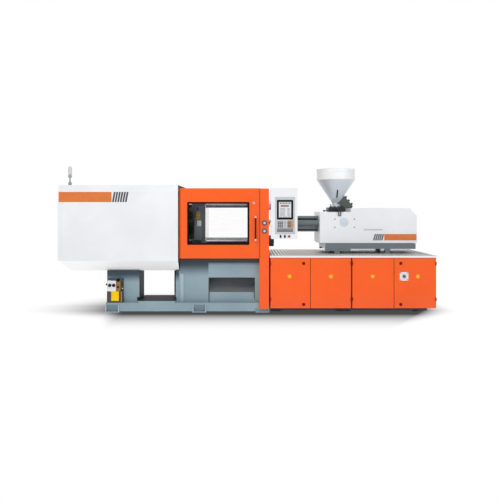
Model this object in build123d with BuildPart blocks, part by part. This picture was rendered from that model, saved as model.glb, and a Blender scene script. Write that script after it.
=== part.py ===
from build123d import *

import os
from math import atan2, cos, degrees, hypot, radians, remainder, sin, sqrt

os.makedirs("parts", exist_ok=True)

# Injection moulding machine. X runs along the machine, clamp at -X and hopper at +X.
# The operator stands at -Y. Z is up, and the floor is Z = 0. All sizes are in millimetres.

# Whole machine
half_length = 2655.0
half_depth = 650.0
clamp_axis_z = 1240.0
foot_plate = 12.0
running_gap = 0.3
bore_clearance = 0.05

# Clamp cover, a folded sheet hood with an open foot and an open right end
cover_right_x = -966.0
cover_top_z = 1785.0
cover_fold_z = 721.0
cover_fold_inset = 145.0
cover_bevel_height = 98.0
cover_bevel_inset = 12.0
cover_corner_length = 70.0
cover_wall = 3.0

# Welded clamp bed
bed_left_x = -1985.0
bed_leg_inset_y = 110.0
bed_leg_inner_y = 161.0
bed_rail_inset_y = 30.0
bed_rail_top_z = 130.0
bed_rear_rail_top_z = 60.0
bed_apron_top_z = 745.0
leg_one_right_x = -1527.0
leg_one_rear_right_x = -1720.0
leg_two_left_x = -1012.0
leg_two_rear_left_x = -1120.0
leg_two_right_x = -547.0
leg_three_left_x = 113.0
leg_three_right_x = 300.0
sill_height = 25.0
sill_inner_y = 28.0
bed_head_inset_y = 250.0
slideway_inner_y = 230.0
slideway_width = 100.0
slideway_bottom_z = 700.0
slideway_flange = 30.0
slideway_web = 44.0
platen_shoe = 15.0
chute_mouth_bottom_z = 273.0
chute_mouth_top_z = 477.0
apron_sheet = 15.0
panel_side_slot = 16.0
foot_length = 187.0
foot_reach = 28.0
gusset_thickness = 10.0
gusset_height = 104.0
anchor_hole_radius = 8.0
leg_strip_left_x = -947.0
leg_strip_width = 50.0
leg_strip_top_z = 534.0

# Product chute below the mould space
chute_sheet = 4.0
chute_high_inset_y = 170.0
chute_high_z = 640.0
chute_side_height = 60.0

# Platens and tie bars
platen_half = 350.0
platen_corner_radius = 50.0
tie_bar_radius = 35.0
tie_bar_offset = 266.0
fixed_face_x = 80.0
fixed_platen_thickness = 200.0
mould_space = 680.0
clamp_stroke = 430.0
moving_plate = 55.0
moving_platen_depth = 200.0
side_rib_inner_y = 305.0
rib_low_drop = 310.0
rib_shoulder_rise = 205.0
rib_top_rise = 320.0
rib_shoulder_cut = 40.0
ear_root_radius = 24.0
ear_root_low = 130.0
bar_boss_radius = 58.0
tail_platen_thickness = 180.0
tail_bore_radius = 90.0
tail_ear_root_radius = 48.0
tie_bar_tail_length = 240.0
tail_nut_length = 90.0
fixed_nut_length = 112.0
nut_radius = 70.0
nut_bevel = 5.0
locating_radius = 62.5
locating_depth = 25.0
nozzle_hole_radius = 40.0
nozzle_cone_radius = 105.0
nozzle_cone_depth = 120.0
mould_bolt_spans = ((420.0, 280.0), (280.0, 140.0))
mould_bolt_radius = 8.0
mould_bolt_depth = 35.0

# Toggle, drawn with the mould open, as it stands at rest
tail_pivot_z = 300.0
front_pivot_z = 240.0
rear_link_length = 228.0
front_link_length = 640.0
lock_margin = 0.5
platen_ear_reach = 90.0
tail_ear_reach = 270.0
ear_radius = 50.0
pivot_pin_radius = 28.0
rear_link_inner_y = 88.0
rear_link_plate = 40.0
front_link_inner_y = 40.0
front_link_plate = 44.0
outer_ear_plate = 32.0
layer_gap = 4.0
front_web_start = 0.35
front_web_end = 0.8
front_web_radius = 36.0
drive_eye_along = 182.0
drive_eye_across = 80.0
drive_eye_radius = 38.0
drive_pin_radius = 18.0
drive_pivot_z = 105.0
drive_link_length = 235.0
drive_link_half_y = 36.0
drive_link_radius = 32.0
crosshead_half_x = 35.0
crosshead_wing_half_z = 19.0
crosshead_ear_radius = 28.0
guide_rod_y = 165.0
guide_rod_radius = 22.0
guide_sleeve_radius = 33.0
guide_sleeve_half = 50.0
guide_rod_free_end = 30.0

# Clamp cylinder behind the tail platen
piston_rod_radius = 35.0
piston_radius = 61.9
piston_length = 40.0
cylinder_bore_radius = 62.0
cylinder_outer_radius = 82.0
cylinder_flange_length = 60.0
cylinder_flange_radius = 150.0
cylinder_cap_step = 12.0
cylinder_bolt_count = 8
cylinder_bolt_radius = 12.0
cylinder_bolt_height = 14.0
cylinder_cap_length = 40.0
cylinder_end_clearance = 5.0

# Ejector inside the moving platen
ejector_stroke = 100.0
ejector_plate_thickness = 30.0
ejector_plate_half_y = 80.0
ejector_plate_half_z = 140.0
ejector_pin_radius = 12.0
ejector_pin_offset = 100.0
ejector_pin_set_back = 1.0
ejector_rod_radius = 20.0
ejector_piston_radius = 39.9
ejector_bore_radius = 40.0
ejector_tube_radius = 55.0
ejector_wall = 20.0
ejector_piston_length = 20.0
ejector_clearance = 3.0

# Sliding safety gates, the same front and rear
gate_inset_y = 12.0
gate_thickness = 60.0
gate_left_x = -962.0
gate_bottom_z = 755.0
gate_top_z = 1740.0
gate_edge_radius = 55.0
gate_skin = 3.0
gate_seam = 2.0
gate_box_edge = 10.0
gate_lock_x = 98.0
gate_lock_z = 1533.0
gate_lock_radius = 15.0
gate_lock_reach = 4.0
window_left_x = -833.0
window_right_x = 27.0
window_bottom_z = 952.0
window_top_z = 1541.0
window_corner_radius = 8.0
pane_lap = 12.0
pane_thickness = 6.0
handle_x = 119.0
handle_bottom_z = 1001.0
handle_top_z = 1351.0
handle_radius = 11.0
handle_reach = 52.0
handle_end_length = 34.0
gate_rail_left_x = -2060.0
gate_rail_thickness = 36.0
lower_gate_rail_bottom_z = 690.0
upper_gate_rail_bottom_z = 1660.0
gate_rail_height = 40.0
gate_strut_width = 40.0
gate_strut_inset_y = 150.0
gate_strut_mid_x = -1010.0

# Orange posts at the fixed platen
post_left_x = 175.0
post_right_x = 308.0
post_bottom_z = 49.0
post_top_z = 1736.0
post_button_x = 246.0
post_button_low_z = 1141.0
post_button_pitch = 112.0
post_bezel_radius = 35.0
post_button_radius = 25.0
button_clearance = 0.2
post_bezel_reach = 8.0
post_button_reach = 13.0
post_button_depth = 10.0
button_travel = 5.0

# Control panel hung on the front post
panel_left_x = 336.0
panel_right_x = 707.0
panel_bottom_z = 1029.0
panel_top_z = 1743.0
panel_depth = 75.0
panel_edge_radius = 10.0
panel_hinge_x = 328.0
panel_hinge_inset_y = 6.0
panel_knuckle_radius = 6.0
panel_pin_radius = 3.0
panel_knuckle_length = 60.0
panel_knuckle_low_z = 1200.0
panel_knuckle_high_z = 1526.0
keypad_left_x = 392.0
keypad_width = 280.0
keypad_bottom_z = 1099.0
keypad_top_z = 1617.0
keypad_raise = 2.0
bezel_left_x = 420.0
bezel_width = 224.0
bezel_bottom_z = 1302.0
bezel_top_z = 1575.0
bezel_raise = 5.0
screen_margin = 24.0
screen_recess = 3.0
panel_button_z = 1065.0
panel_button_x = 470.0
panel_button_pitch = 60.0
panel_button_radius = 12.0
panel_button_reach = 10.0
panel_button_depth = 12.0
panel_button_travel = 4.0

# Injection base cabinet and its doors
base_left_x = 319.0
base_frame_inset_y = 22.0
base_rear_inset_y = 10.0
base_post_width = 40.0
base_tray_bottom_z = 60.0
base_tray_thickness = 15.0
base_top_z = 790.0
base_header_height = 64.0
plinth_left_x = 340.0
plinth_end_gap = 107.0
plinth_side_gap = 90.0
plinth_width = 60.0
base_foot_places = ((21.0 / 2336.0, 140.0), (948.0 / 2336.0, 189.0), (2033.0 / 2336.0, 70.0))
base_side_sheet = 5.0
door_bottom_z = 60.0
door_top_z = 760.0
door_wall = 3.0
door_seam = 3.0
door_edge_shares = (0.0, 569.0 / 2336.0, 1147.0 / 2336.0, 1740.0 / 2336.0, 1.0)
door_hinge_inset = 9.0
door_hinge_reach = 7.0
door_hinge_clearance = 11.0
door_knuckle_radius = 7.0
door_pin_radius = 4.0
door_knuckle_length = 24.0
door_bracket_width = 6.0
door_strap_length = 26.0
door_knuckle_low_z = 160.0
door_knuckle_high_z = 660.0
latch_doors = (0, 3)
latch_inset = 94.0
latch_low_z = 113.0
latch_high_z = 687.0
latch_knob_radius = 15.0
latch_knob_reach = 12.0
latch_shaft_radius = 6.0
latch_cam_length = 36.0
latch_cam_width = 14.0
latch_cam_thickness = 4.0
switch_plate_gap = 140.0
switch_plate_z = 506.0
switch_plate_size = 118.0
switch_plate_thickness = 4.0
switch_knob_radius = 22.0
switch_knob_reach = 12.0
switch_grip_width = 10.0
switch_grip_inset = 3.0
switch_grip_reach = 12.0
switch_shaft_radius = 6.0
vent_width = 160.0
vent_height = 8.0
vent_pitch = 22.0
vent_rows = 6
vent_bottom_z = 520.0

# Ribbed table over the cabinet
deck_sheet = 6.0
deck_rib_height = 6.0
deck_rib_width = 20.0
deck_rib_pitch = 46.0
deck_lip_height = 24.0
deck_lip_sheet = 3.0

# Things inside the cabinet
oil_tank_end_gap = 166.0
oil_tank_width = 900.0
oil_tank_height = 330.0
oil_tank_left_x = 400.0
motor_radius = 130.0
motor_length = 420.0
motor_foot_height = 20.0
pump_radius = 80.0
pump_length = 200.0
motor_fin_count = 20
motor_fin_height = 12.0
motor_fin_thickness = 6.0
motor_end_length = 60.0
gear_plate_left_gap = 64.0
gear_plate_right_gap = 65.0
gear_plate_y = 200.0
gear_plate_top_z = 720.0
gear_plate_sheet = 3.0
breaker_count = 8
breaker_width = 36.0
breaker_pitch = 50.0
breaker_height = 90.0
breaker_depth = 70.0
drive_unit_width = 220.0
drive_unit_height = 260.0
drive_unit_depth = 180.0

# Rails that carry the injection unit
beam_left_x = 1133.0
beam_right_x = 2452.0
beam_inner_y = 262.0
beam_width = 80.0
beam_top_z = 949.0
beam_height = 80.0
beam_block_right_x = 1505.0
beam_block_height = 29.0
pedestal_left_x = 1278.0
pedestal_right_x = 2012.0
pedestal_width = 70.0
beam_tie_width = 40.0

# Injection carriage
saddle_thickness = 36.0
saddle_right_x = 2400.0
housing_left_x = 1230.0
housing_right_x = 1456.0
housing_half_y = 110.0
housing_top_z = 1413.0
housing_flange_length = 56.0
housing_flange_half_y = 250.0
housing_flange_top_z = 1370.0
rear_plate_left_x = 2100.0
rear_plate_thickness = 40.0
drive_rod_y = 200.0
drive_rod_radius = 22.0
pull_cylinder_y = 195.0
pull_cylinder_z = 1243.0
pull_cylinder_radius = 42.0
pull_cylinder_bore = 30.0
pull_cylinder_left_x = 700.0
pull_cylinder_cap = 20.0
pull_rod_radius = 14.0
pull_piston_radius = 29.9
pull_piston_length = 20.0
pull_piston_clearance = 8.0

# Barrel, screw and nozzle
barrel_left_x = 330.0
barrel_right_x = 1570.0
barrel_radius = 55.0
screw_radius = 22.5
screw_core_radius = 16.0
screw_pitch = 45.0
screw_flight_width = 6.0
screw_tip_x = 347.0
screw_tip_length = 30.0
screw_flight_end_x = 1384.0
screw_flight_root = 1.0
screw_shank_radius = 20.0
shank_end_gap = 2.0
screw_shank_end_x = 1648.0
nozzle_tip_x = 108.0
nozzle_tip_radius = 10.0
nozzle_taper_length = 24.0
nozzle_bore_radius = 4.0
nozzle_body_radius = 26.0
nozzle_hex_radius = 42.0
nozzle_hex_length = 40.0
band_radius = 66.0
band_width = 70.0
band_pitch = 120.0
band_first_x = 455.0
band_count = 5
band_box_half = 12.0
guard_left_x = 560.0
guard_half_y = 150.0
guard_bottom_z = 1116.0
guard_top_z = 1347.0
guard_sheet = 2.0
guard_slot_length = 26.0
guard_slot_height = 10.0
guard_slot_pitch_x = 40.0
guard_slot_pitch_z = 26.0
guard_slot_columns = 12
guard_slot_rows = 7
guard_hole_radius = 72.0

# Screw drive that slides inside the injection cover
thrust_left_x = 1590.0
thrust_thickness = 80.0
thrust_half_y = 250.0
thrust_half_z = 110.0
screw_motor_radius = 98.0
screw_motor_length = 230.0

# Injection cover
injection_cover_left_x = 1059.0
injection_cover_right_x = 2469.0
injection_cover_step_x = 1510.0
injection_cover_slope_x = 2361.0
injection_cover_slope_z = 1353.0
injection_cover_bottom_z = 956.0
injection_cover_low_top_z = 1406.0
injection_cover_top_z = 1463.0
injection_cover_half_y = 350.0
injection_cover_wall = 3.0
grip_slot_left_x = 1694.0
grip_slot_length = 280.0
grip_slot_z = 1138.0
grip_slot_height = 22.0

# Hopper
hopper_x = 1343.0
hopper_radius = 284.0
hopper_rim_z = 2043.0
hopper_shoulder_z = 1890.0
hopper_neck_radius = 53.0
hopper_neck_z = 1542.0
hopper_base_top_z = 1474.0
hopper_sheet = 3.0
hopper_flange_radius = 100.0
hopper_flange_thickness = 8.0
hopper_bead_height = 8.0
hopper_bead_reach = 5.0
hopper_lid_thickness = 6.0
hopper_lid_lip = 14.0
sight_width = 12.0
sight_bottom_z = 1623.0
sight_top_z = 1736.0
base_half_width = 128.0
feed_hole_radius = 40.0
feed_throat_radius = 25.0
shutoff_half_width = 62.0
shutoff_bottom_z = 1440.0
shutoff_thickness = 12.0
shutoff_reach = 372.0
shutoff_back = 150.0
shutoff_neck = 20.0
loop_half_width = 20.0
loop_bar = 10.0
loop_bottom_z = 1349.0
drain_half_y = 60.0
drain_top_x = 1456.0
drain_top_z = 1643.0
drain_end_x = 1586.0
drain_end_z = 1486.0
drain_sole = 60.0
drain_plate_thickness = 8.0
drain_knob_radius = 11.0
drain_knob_reach = 34.0
tray_right_x = 1581.0
tray_height = 10.0
pull_knob_reach = 64.0
pull_knob_radius = 12.0

# Signal lamp on the clamp cover
lamp_end_gap = 115.0
lamp_side_gap = 200.0
lamp_base_radius = 25.0
lamp_base_height = 66.0
lamp_stem_radius = 9.0
lamp_stem_height = 44.0
lamp_ball_radius = 29.0
lamp_ball_height = 54.0
lamp_lens_radius = 28.0
lamp_lens_height = 116.0
lamp_dome_radius = 26.0

# Central lubrication unit on the front rail
lube_left_x = -1970.0
lube_right_x = -1750.0
lube_inset_y = 34.0
lube_base = 10.0
lube_tank_left_x = -1912.0
lube_tank_right_x = -1800.0
lube_tank_bottom_z = 158.0
lube_tank_top_z = 290.0
lube_tank_corner = 8.0
lube_head_bottom_z = 406.0
lube_head_top_z = 466.0
lube_knob_radius = 18.0
lube_knob_pitch = 58.0
lube_knob_z = 380.0
lube_gauge_radius = 21.0
lube_gauge_z = 451.0

# Sizes worked out from the ones above
cover_left_x = -half_length
base_right_x = half_length
base_length = base_right_x - base_left_x
bed_leg_front_y = half_depth - bed_leg_inset_y
bed_head_half_y = half_depth - bed_head_inset_y
bed_rail_front_y = half_depth - bed_rail_inset_y
chute_high_y = half_depth - chute_high_inset_y
gate_front_y = half_depth - gate_inset_y
gate_strut_outer_y = half_depth - gate_strut_inset_y
panel_hinge_y = panel_hinge_inset_y - half_depth
base_frame_front_y = half_depth - base_frame_inset_y
base_rear_y = half_depth - base_rear_inset_y
plinth_right_x = base_right_x - plinth_end_gap
plinth_inset_y = half_depth - plinth_side_gap
base_feet = tuple((base_left_x + share * base_length, length) for share, length in base_foot_places)
door_edges_x = tuple(base_left_x + share * base_length for share in door_edge_shares)
base_divider_x = door_edges_x[2]
switch_plate_x = door_edges_x[3] + switch_plate_gap
oil_tank_length = base_divider_x - oil_tank_end_gap - oil_tank_left_x
gear_plate_left_x = base_divider_x + gear_plate_left_gap
gear_plate_right_x = base_right_x - gear_plate_right_gap
lamp_x = cover_left_x + lamp_end_gap
lamp_y = lamp_side_gap - half_depth
lube_front_y = lube_inset_y - half_depth
cover_bottom_z = cover_fold_z - cover_fold_inset
slideway_outer_y = slideway_inner_y + slideway_width
slideway_top_z = clamp_axis_z - platen_half - platen_shoe
platen_bottom_z = clamp_axis_z - platen_half
fixed_back_x = fixed_face_x + fixed_platen_thickness
moving_face_x = fixed_face_x - mould_space
moving_back_x = moving_face_x - moving_platen_depth
moving_plate_back_x = moving_face_x - moving_plate
front_pivot_x = moving_back_x - platen_ear_reach
closed_reach = rear_link_length + front_link_length - lock_margin
pivot_drop = tail_pivot_z - front_pivot_z
closed_span = sqrt(closed_reach ** 2 - pivot_drop ** 2)
tail_pivot_x = front_pivot_x + clamp_stroke - closed_span
tail_face_x = tail_pivot_x - tail_ear_reach
tail_back_x = tail_face_x - tail_platen_thickness
gate_back_y = gate_front_y - gate_thickness
gate_right_x = post_left_x - gate_seam
rail_face_y = gate_back_y - running_gap
saddle_bottom_z = beam_top_z + running_gap
saddle_top_z = saddle_bottom_z + saddle_thickness
barrel_bore_radius = screw_radius + bore_clearance
outer_ear_inner_y = rear_link_inner_y + rear_link_plate + layer_gap
outer_ear_outer_y = outer_ear_inner_y + outer_ear_plate
saddle_half_y = injection_cover_half_y - injection_cover_wall
housing_flange_left_x = injection_cover_left_x + injection_cover_wall
pull_bore_left_x = pull_cylinder_left_x + pull_cylinder_cap
pull_bore_right_x = housing_flange_left_x - pull_cylinder_cap
pull_piston_right_x = pull_bore_right_x - pull_piston_clearance
ejector_plate_left_x = moving_plate_back_x - ejector_stroke - ejector_plate_thickness - ejector_clearance
ejector_wall_left_x = ejector_plate_left_x - ejector_clearance - ejector_wall
ejector_piston_left_x = ejector_wall_left_x - ejector_stroke - ejector_piston_length - ejector_clearance
ejector_tube_left_x = ejector_piston_left_x - ejector_clearance - ejector_wall
latch_position_x = {0: door_edges_x[1] - latch_inset, 3: door_edges_x[3] + latch_inset}
front_ear_inner_y = rear_link_inner_y
front_ear_outer_y = rear_link_inner_y + rear_link_plate


def bar(x0, x1, y0, y1, z0, z1, mode=Mode.ADD):
    """A straight block between two opposite corners."""
    with Locations(((x0 + x1) / 2, (y0 + y1) / 2, (z0 + z1) / 2)):
        Box(x1 - x0, y1 - y0, z1 - z0, mode=mode)


def rod_x(x0, x1, y, z, radius, mode=Mode.ADD):
    """A round bar along X."""
    with Locations(((x0 + x1) / 2, y, z)):
        Cylinder(radius, x1 - x0, rotation=(0, 90, 0), mode=mode)


def rod_y(y0, y1, x, z, radius, mode=Mode.ADD):
    """A round bar along Y."""
    with Locations((x, (y0 + y1) / 2, z)):
        Cylinder(radius, y1 - y0, rotation=(90, 0, 0), mode=mode)


def rod_z(z0, z1, x, y, radius, mode=Mode.ADD):
    """An upright round bar."""
    with Locations((x, y, (z0 + z1) / 2)):
        Cylinder(radius, z1 - z0, mode=mode)


def front_plane(y):
    """The plane at one depth that faces the operator, with sketch axes along X and Z."""
    return Plane.XZ.offset(-y)


def side_plane(x):
    """The plane across the machine at one length, with sketch axes along Y and Z."""
    return Plane.YZ.offset(x)


def finish(builder, name):
    """Names a finished piece and writes its file."""
    builder.part.label = name
    export_step(builder.part, "parts/" + name + ".step")


def circle_meeting(first, first_radius, second, second_radius):
    """The point at two distances from two centres, on the side nearer the clamp axis."""
    dx = second[0] - first[0]
    dz = second[1] - first[1]
    span = hypot(dx, dz)
    along = (first_radius ** 2 - second_radius ** 2 + span ** 2) / (2 * span)
    across = sqrt(max(first_radius ** 2 - along ** 2, 0.0))
    return (first[0] + (along * dx + across * dz) / span, first[1] + (along * dz - across * dx) / span)


def direction(start, end):
    """The angle of one point seen from another, in radians."""
    return atan2(end[1] - start[1], end[0] - start[0])


# Toggle positions in the upper half, with heights measured from the clamp axis
tail_pivot = (tail_pivot_x, tail_pivot_z)
front_pivot = (front_pivot_x, front_pivot_z)
front_pivot_closed = (front_pivot_x + clamp_stroke, front_pivot_z)
knee = circle_meeting(tail_pivot, rear_link_length, front_pivot, front_link_length)
knee_closed = circle_meeting(tail_pivot, rear_link_length, front_pivot_closed, front_link_length)


def drive_eye(knee_point):
    """The third hole of the rear link, for one position of its knee."""
    angle = direction(tail_pivot, knee_point)
    return (
        tail_pivot[0] + drive_eye_along * cos(angle) + drive_eye_across * sin(angle),
        tail_pivot[1] + drive_eye_along * sin(angle) - drive_eye_across * cos(angle),
    )


def crosshead_x(eye):
    """Where the crosshead stands when the rear link holds its drive hole at one point."""
    rise = eye[1] - drive_pivot_z
    return eye[0] + sqrt(drive_link_length ** 2 - rise ** 2)


eye_open = drive_eye(knee)
eye_closed = drive_eye(knee_closed)
crosshead_open_x = crosshead_x(eye_open)
crosshead_closed_x = crosshead_x(eye_closed)
crosshead_stroke = crosshead_closed_x - crosshead_open_x
drive_pivot = (crosshead_open_x, drive_pivot_z)
drive_pivot_closed = (crosshead_closed_x, drive_pivot_z)
guide_rod_end_x = crosshead_closed_x + guide_sleeve_half + guide_rod_free_end


# Clamp bed
with BuildPart() as clamp_bed:
    foot_centres_x = (
        bed_left_x + foot_length / 2,
        leg_two_right_x - foot_length / 2 - foot_reach,
        post_right_x - foot_length / 2,
    )
    rail_right_x = post_left_x - gate_seam
    bar(bed_left_x, rail_right_x, -bed_rail_front_y, -bed_leg_front_y, foot_plate, bed_rail_top_z)
    bar(rail_right_x, post_right_x, -bed_rail_front_y, -bed_leg_front_y, foot_plate, post_bottom_z)
    bar(bed_left_x, rail_right_x, bed_leg_front_y, bed_rail_front_y, foot_plate, bed_rear_rail_top_z)
    bar(rail_right_x, post_right_x, bed_leg_front_y, bed_rail_front_y, foot_plate, post_bottom_z)
    # Box legs, with the rear ones narrower so that the bed is open behind the front opening
    bar(bed_left_x, leg_one_right_x, -bed_leg_front_y, -bed_leg_inner_y, foot_plate, cover_bottom_z)
    bar(bed_left_x, leg_one_rear_right_x, bed_leg_inner_y, bed_leg_front_y, foot_plate, cover_bottom_z)
    bar(leg_two_left_x, leg_two_right_x, -bed_leg_front_y, -bed_leg_inner_y, foot_plate, cover_bottom_z)
    bar(leg_two_rear_left_x, leg_two_right_x, bed_leg_inner_y, bed_leg_front_y, foot_plate, cover_bottom_z)
    bar(leg_three_left_x, leg_three_right_x, -bed_leg_front_y, bed_leg_front_y, foot_plate, bed_apron_top_z)
    bar(leg_three_left_x, leg_three_right_x, -platen_half, platen_half, bed_apron_top_z, slideway_top_z)
    # Heads that join the legs under the slideways
    bar(bed_left_x, leg_one_rear_right_x, -bed_head_half_y, bed_head_half_y, cover_bottom_z,
        slideway_bottom_z)
    bar(leg_two_left_x, leg_two_right_x, -bed_head_half_y, bed_head_half_y, cover_bottom_z, slideway_bottom_z)
    # Sill of the through opening
    bar(leg_one_right_x, leg_two_left_x, -bed_rail_front_y, -sill_inner_y, bed_rail_top_z,
        bed_rail_top_z + sill_height)
    bar(leg_one_right_x, leg_two_left_x, -bed_leg_front_y, -sill_inner_y, foot_plate, bed_rail_top_z)
    # Slideways with an I section
    for side in (-1, 1):
        middle_y = side * (slideway_inner_y + slideway_outer_y) / 2
        web_bottom_z = slideway_bottom_z + slideway_flange
        web_top_z = slideway_top_z - slideway_flange
        low_y = middle_y - slideway_width / 2
        high_y = middle_y + slideway_width / 2
        with BuildSketch(side_plane(bed_left_x)):
            with BuildLine():
                Polyline(
                    (low_y, slideway_bottom_z),
                    (high_y, slideway_bottom_z),
                    (high_y, web_bottom_z),
                    (middle_y + slideway_web / 2, web_bottom_z),
                    (middle_y + slideway_web / 2, web_top_z),
                    (high_y, web_top_z),
                    (high_y, slideway_top_z),
                    (low_y, slideway_top_z),
                    (low_y, web_top_z),
                    (middle_y - slideway_web / 2, web_top_z),
                    (middle_y - slideway_web / 2, web_bottom_z),
                    (low_y, web_bottom_z),
                    close=True,
                )
            make_face()
        extrude(amount=leg_three_left_x - bed_left_x)
    # Apron above the chute mouth, shoulders beside it and the front panel below it
    shoulder_left_x = cover_right_x + foot_plate
    bar(shoulder_left_x, leg_two_right_x, -bed_leg_front_y, -bed_head_half_y, cover_bottom_z, bed_apron_top_z)
    bar(leg_two_right_x, leg_three_left_x, -bed_leg_front_y, apron_sheet - bed_leg_front_y,
        chute_mouth_top_z, bed_apron_top_z)
    bar(leg_two_right_x + panel_side_slot, leg_three_left_x - panel_side_slot, -bed_leg_front_y,
        apron_sheet - bed_leg_front_y, bed_rail_top_z - sill_height, chute_mouth_bottom_z - chute_sheet)
    bar(leg_two_right_x, leg_three_left_x, bed_leg_front_y - apron_sheet, bed_leg_front_y,
        foot_plate, bed_apron_top_z)
    bar(shoulder_left_x, leg_two_right_x, bed_head_half_y, bed_leg_front_y, cover_bottom_z, bed_apron_top_z)
    # Raised strip on the second leg
    bar(leg_strip_left_x, leg_strip_left_x + leg_strip_width, -bed_leg_front_y - gusset_thickness,
        -bed_leg_front_y, bed_rail_top_z, leg_strip_top_z)
    # Feet with gussets and anchor holes, front and rear
    for side in (-1, 1):
        gusset_top_z = gusset_height if side < 0 else bed_rear_rail_top_z - foot_plate
        for foot_x in foot_centres_x:
            foot_y = side * (bed_rail_front_y + foot_reach)
            bar(foot_x - foot_length / 2, foot_x + foot_length / 2, min(foot_y, side * bed_leg_front_y),
                max(foot_y, side * bed_leg_front_y), 0, foot_plate)
            under_post = foot_x > post_left_x
            top_z = post_bottom_z if under_post else gusset_top_z
            for edge_x in (foot_x - foot_length / 2, foot_x + foot_length / 2 - gusset_thickness):
                with BuildSketch(side_plane(edge_x)):
                    with BuildLine():
                        Polyline(
                            (foot_y, foot_plate),
                            (side * bed_rail_front_y, foot_plate),
                            (side * bed_rail_front_y, top_z),
                            (foot_y - side * foot_reach / 2, top_z),
                            (foot_y, foot_plate * 2),
                            close=True,
                        )
                    make_face()
                extrude(amount=gusset_thickness)
            rod_z(0, foot_plate, foot_x, side * (bed_rail_front_y + foot_reach / 2),
                  anchor_hole_radius, Mode.SUBTRACT)
finish(clamp_bed, "clamp_bed")

# Product chute, a bent sheet trough that slopes to the front mouth
with BuildPart() as product_chute:
    chute_front_y = -bed_leg_front_y + apron_sheet
    with BuildSketch(side_plane(leg_two_right_x)):
        with BuildLine():
            Polyline(
                (-bed_leg_front_y, chute_mouth_bottom_z - chute_sheet),
                (chute_front_y, chute_mouth_bottom_z - chute_sheet),
                (chute_high_y, chute_high_z),
                (chute_high_y, chute_high_z + chute_side_height),
                (chute_high_y - chute_sheet, chute_high_z + chute_side_height),
                (chute_high_y - chute_sheet, chute_high_z + chute_sheet),
                (chute_front_y, chute_mouth_bottom_z),
                (-bed_leg_front_y, chute_mouth_bottom_z),
                close=True,
            )
        make_face()
    extrude(amount=leg_three_left_x - leg_two_right_x)
    with BuildSketch(side_plane(leg_two_right_x)):
        with BuildLine():
            Polyline(
                (chute_front_y, chute_mouth_bottom_z),
                (chute_high_y - chute_sheet, chute_high_z + chute_sheet),
                (chute_high_y - chute_sheet, chute_high_z + chute_side_height),
                (chute_front_y, chute_mouth_bottom_z + chute_side_height),
                close=True,
            )
        make_face()
    side_sheets = extrude(amount=chute_sheet)
    mirror(about=Plane.YZ.offset((leg_two_right_x + leg_three_left_x) / 2), objects=side_sheets)
finish(product_chute, "product_chute")

# Gate frame: rails that carry both gates, on struts that stand on the bed
with BuildPart() as gate_frame:
    upper_rail_top_z = upper_gate_rail_bottom_z + gate_rail_height
    strut_inner_y = gate_strut_outer_y - gate_strut_width
    for side in (-1, 1):
        face_y = side * rail_face_y
        upper_back_y = side * (rail_face_y - gate_rail_thickness)
        bar(gate_rail_left_x, post_left_x, min(face_y, side * bed_leg_front_y),
            max(face_y, side * bed_leg_front_y),
            lower_gate_rail_bottom_z, bed_apron_top_z)
        bar(gate_rail_left_x, post_left_x, min(face_y, upper_back_y), max(face_y, upper_back_y),
            upper_gate_rail_bottom_z, upper_rail_top_z)
        for strut_x in (bed_left_x, gate_strut_mid_x):
            strut_outer = side * gate_strut_outer_y
            strut_inner = side * strut_inner_y
            bar(strut_x, strut_x + gate_strut_width, min(strut_outer, strut_inner),
                max(strut_outer, strut_inner),
                cover_bottom_z, upper_rail_top_z)
            bar(strut_x, strut_x + gate_strut_width, min(side * bed_leg_front_y, strut_inner),
                max(side * bed_leg_front_y, strut_inner), lower_gate_rail_bottom_z, bed_apron_top_z)
            bar(strut_x, strut_x + gate_strut_width, min(upper_back_y, strut_inner),
                max(upper_back_y, strut_inner), upper_gate_rail_bottom_z, upper_rail_top_z)
    for strut_x in (bed_left_x, gate_strut_mid_x):
        bar(strut_x, strut_x + gate_strut_width, -strut_inner_y, strut_inner_y,
            upper_gate_rail_bottom_z, upper_rail_top_z)
finish(gate_frame, "gate_frame")


def cover_outline(z, inset, right_x):
    """The hood's plan at one height, pulled in on its three closed sides, with cut corners."""
    left = cover_left_x + inset
    side = half_depth - inset
    with BuildSketch(Plane.XY.offset(z)) as plan:
        with BuildLine():
            Polyline(
                (right_x, -side),
                (left + cover_corner_length, -side),
                (left, cover_bevel_inset - side),
                (left, side - cover_bevel_inset),
                (left + cover_corner_length, side),
                (right_x, side),
                close=True,
            )
        make_face()
    return plan.sketch


# Clamp cover
with BuildPart() as clamp_cover:
    bevel_z = cover_top_z - cover_bevel_height
    loft(
        [
            cover_outline(cover_bottom_z, cover_fold_inset, cover_right_x),
            cover_outline(cover_fold_z, 0, cover_right_x),
            cover_outline(bevel_z, 0, cover_right_x),
            cover_outline(cover_top_z, cover_bevel_inset, cover_right_x),
        ],
        ruled=True,
    )
    open_right_x = cover_right_x + 1
    loft(
        [
            cover_outline(cover_bottom_z, cover_fold_inset + cover_wall, open_right_x),
            cover_outline(cover_fold_z, cover_wall, open_right_x),
            cover_outline(bevel_z, cover_wall, open_right_x),
            cover_outline(cover_top_z - cover_wall, cover_bevel_inset + cover_wall, open_right_x),
        ],
        ruled=True,
        mode=Mode.SUBTRACT,
    )
finish(clamp_cover, "clamp_cover")

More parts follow.
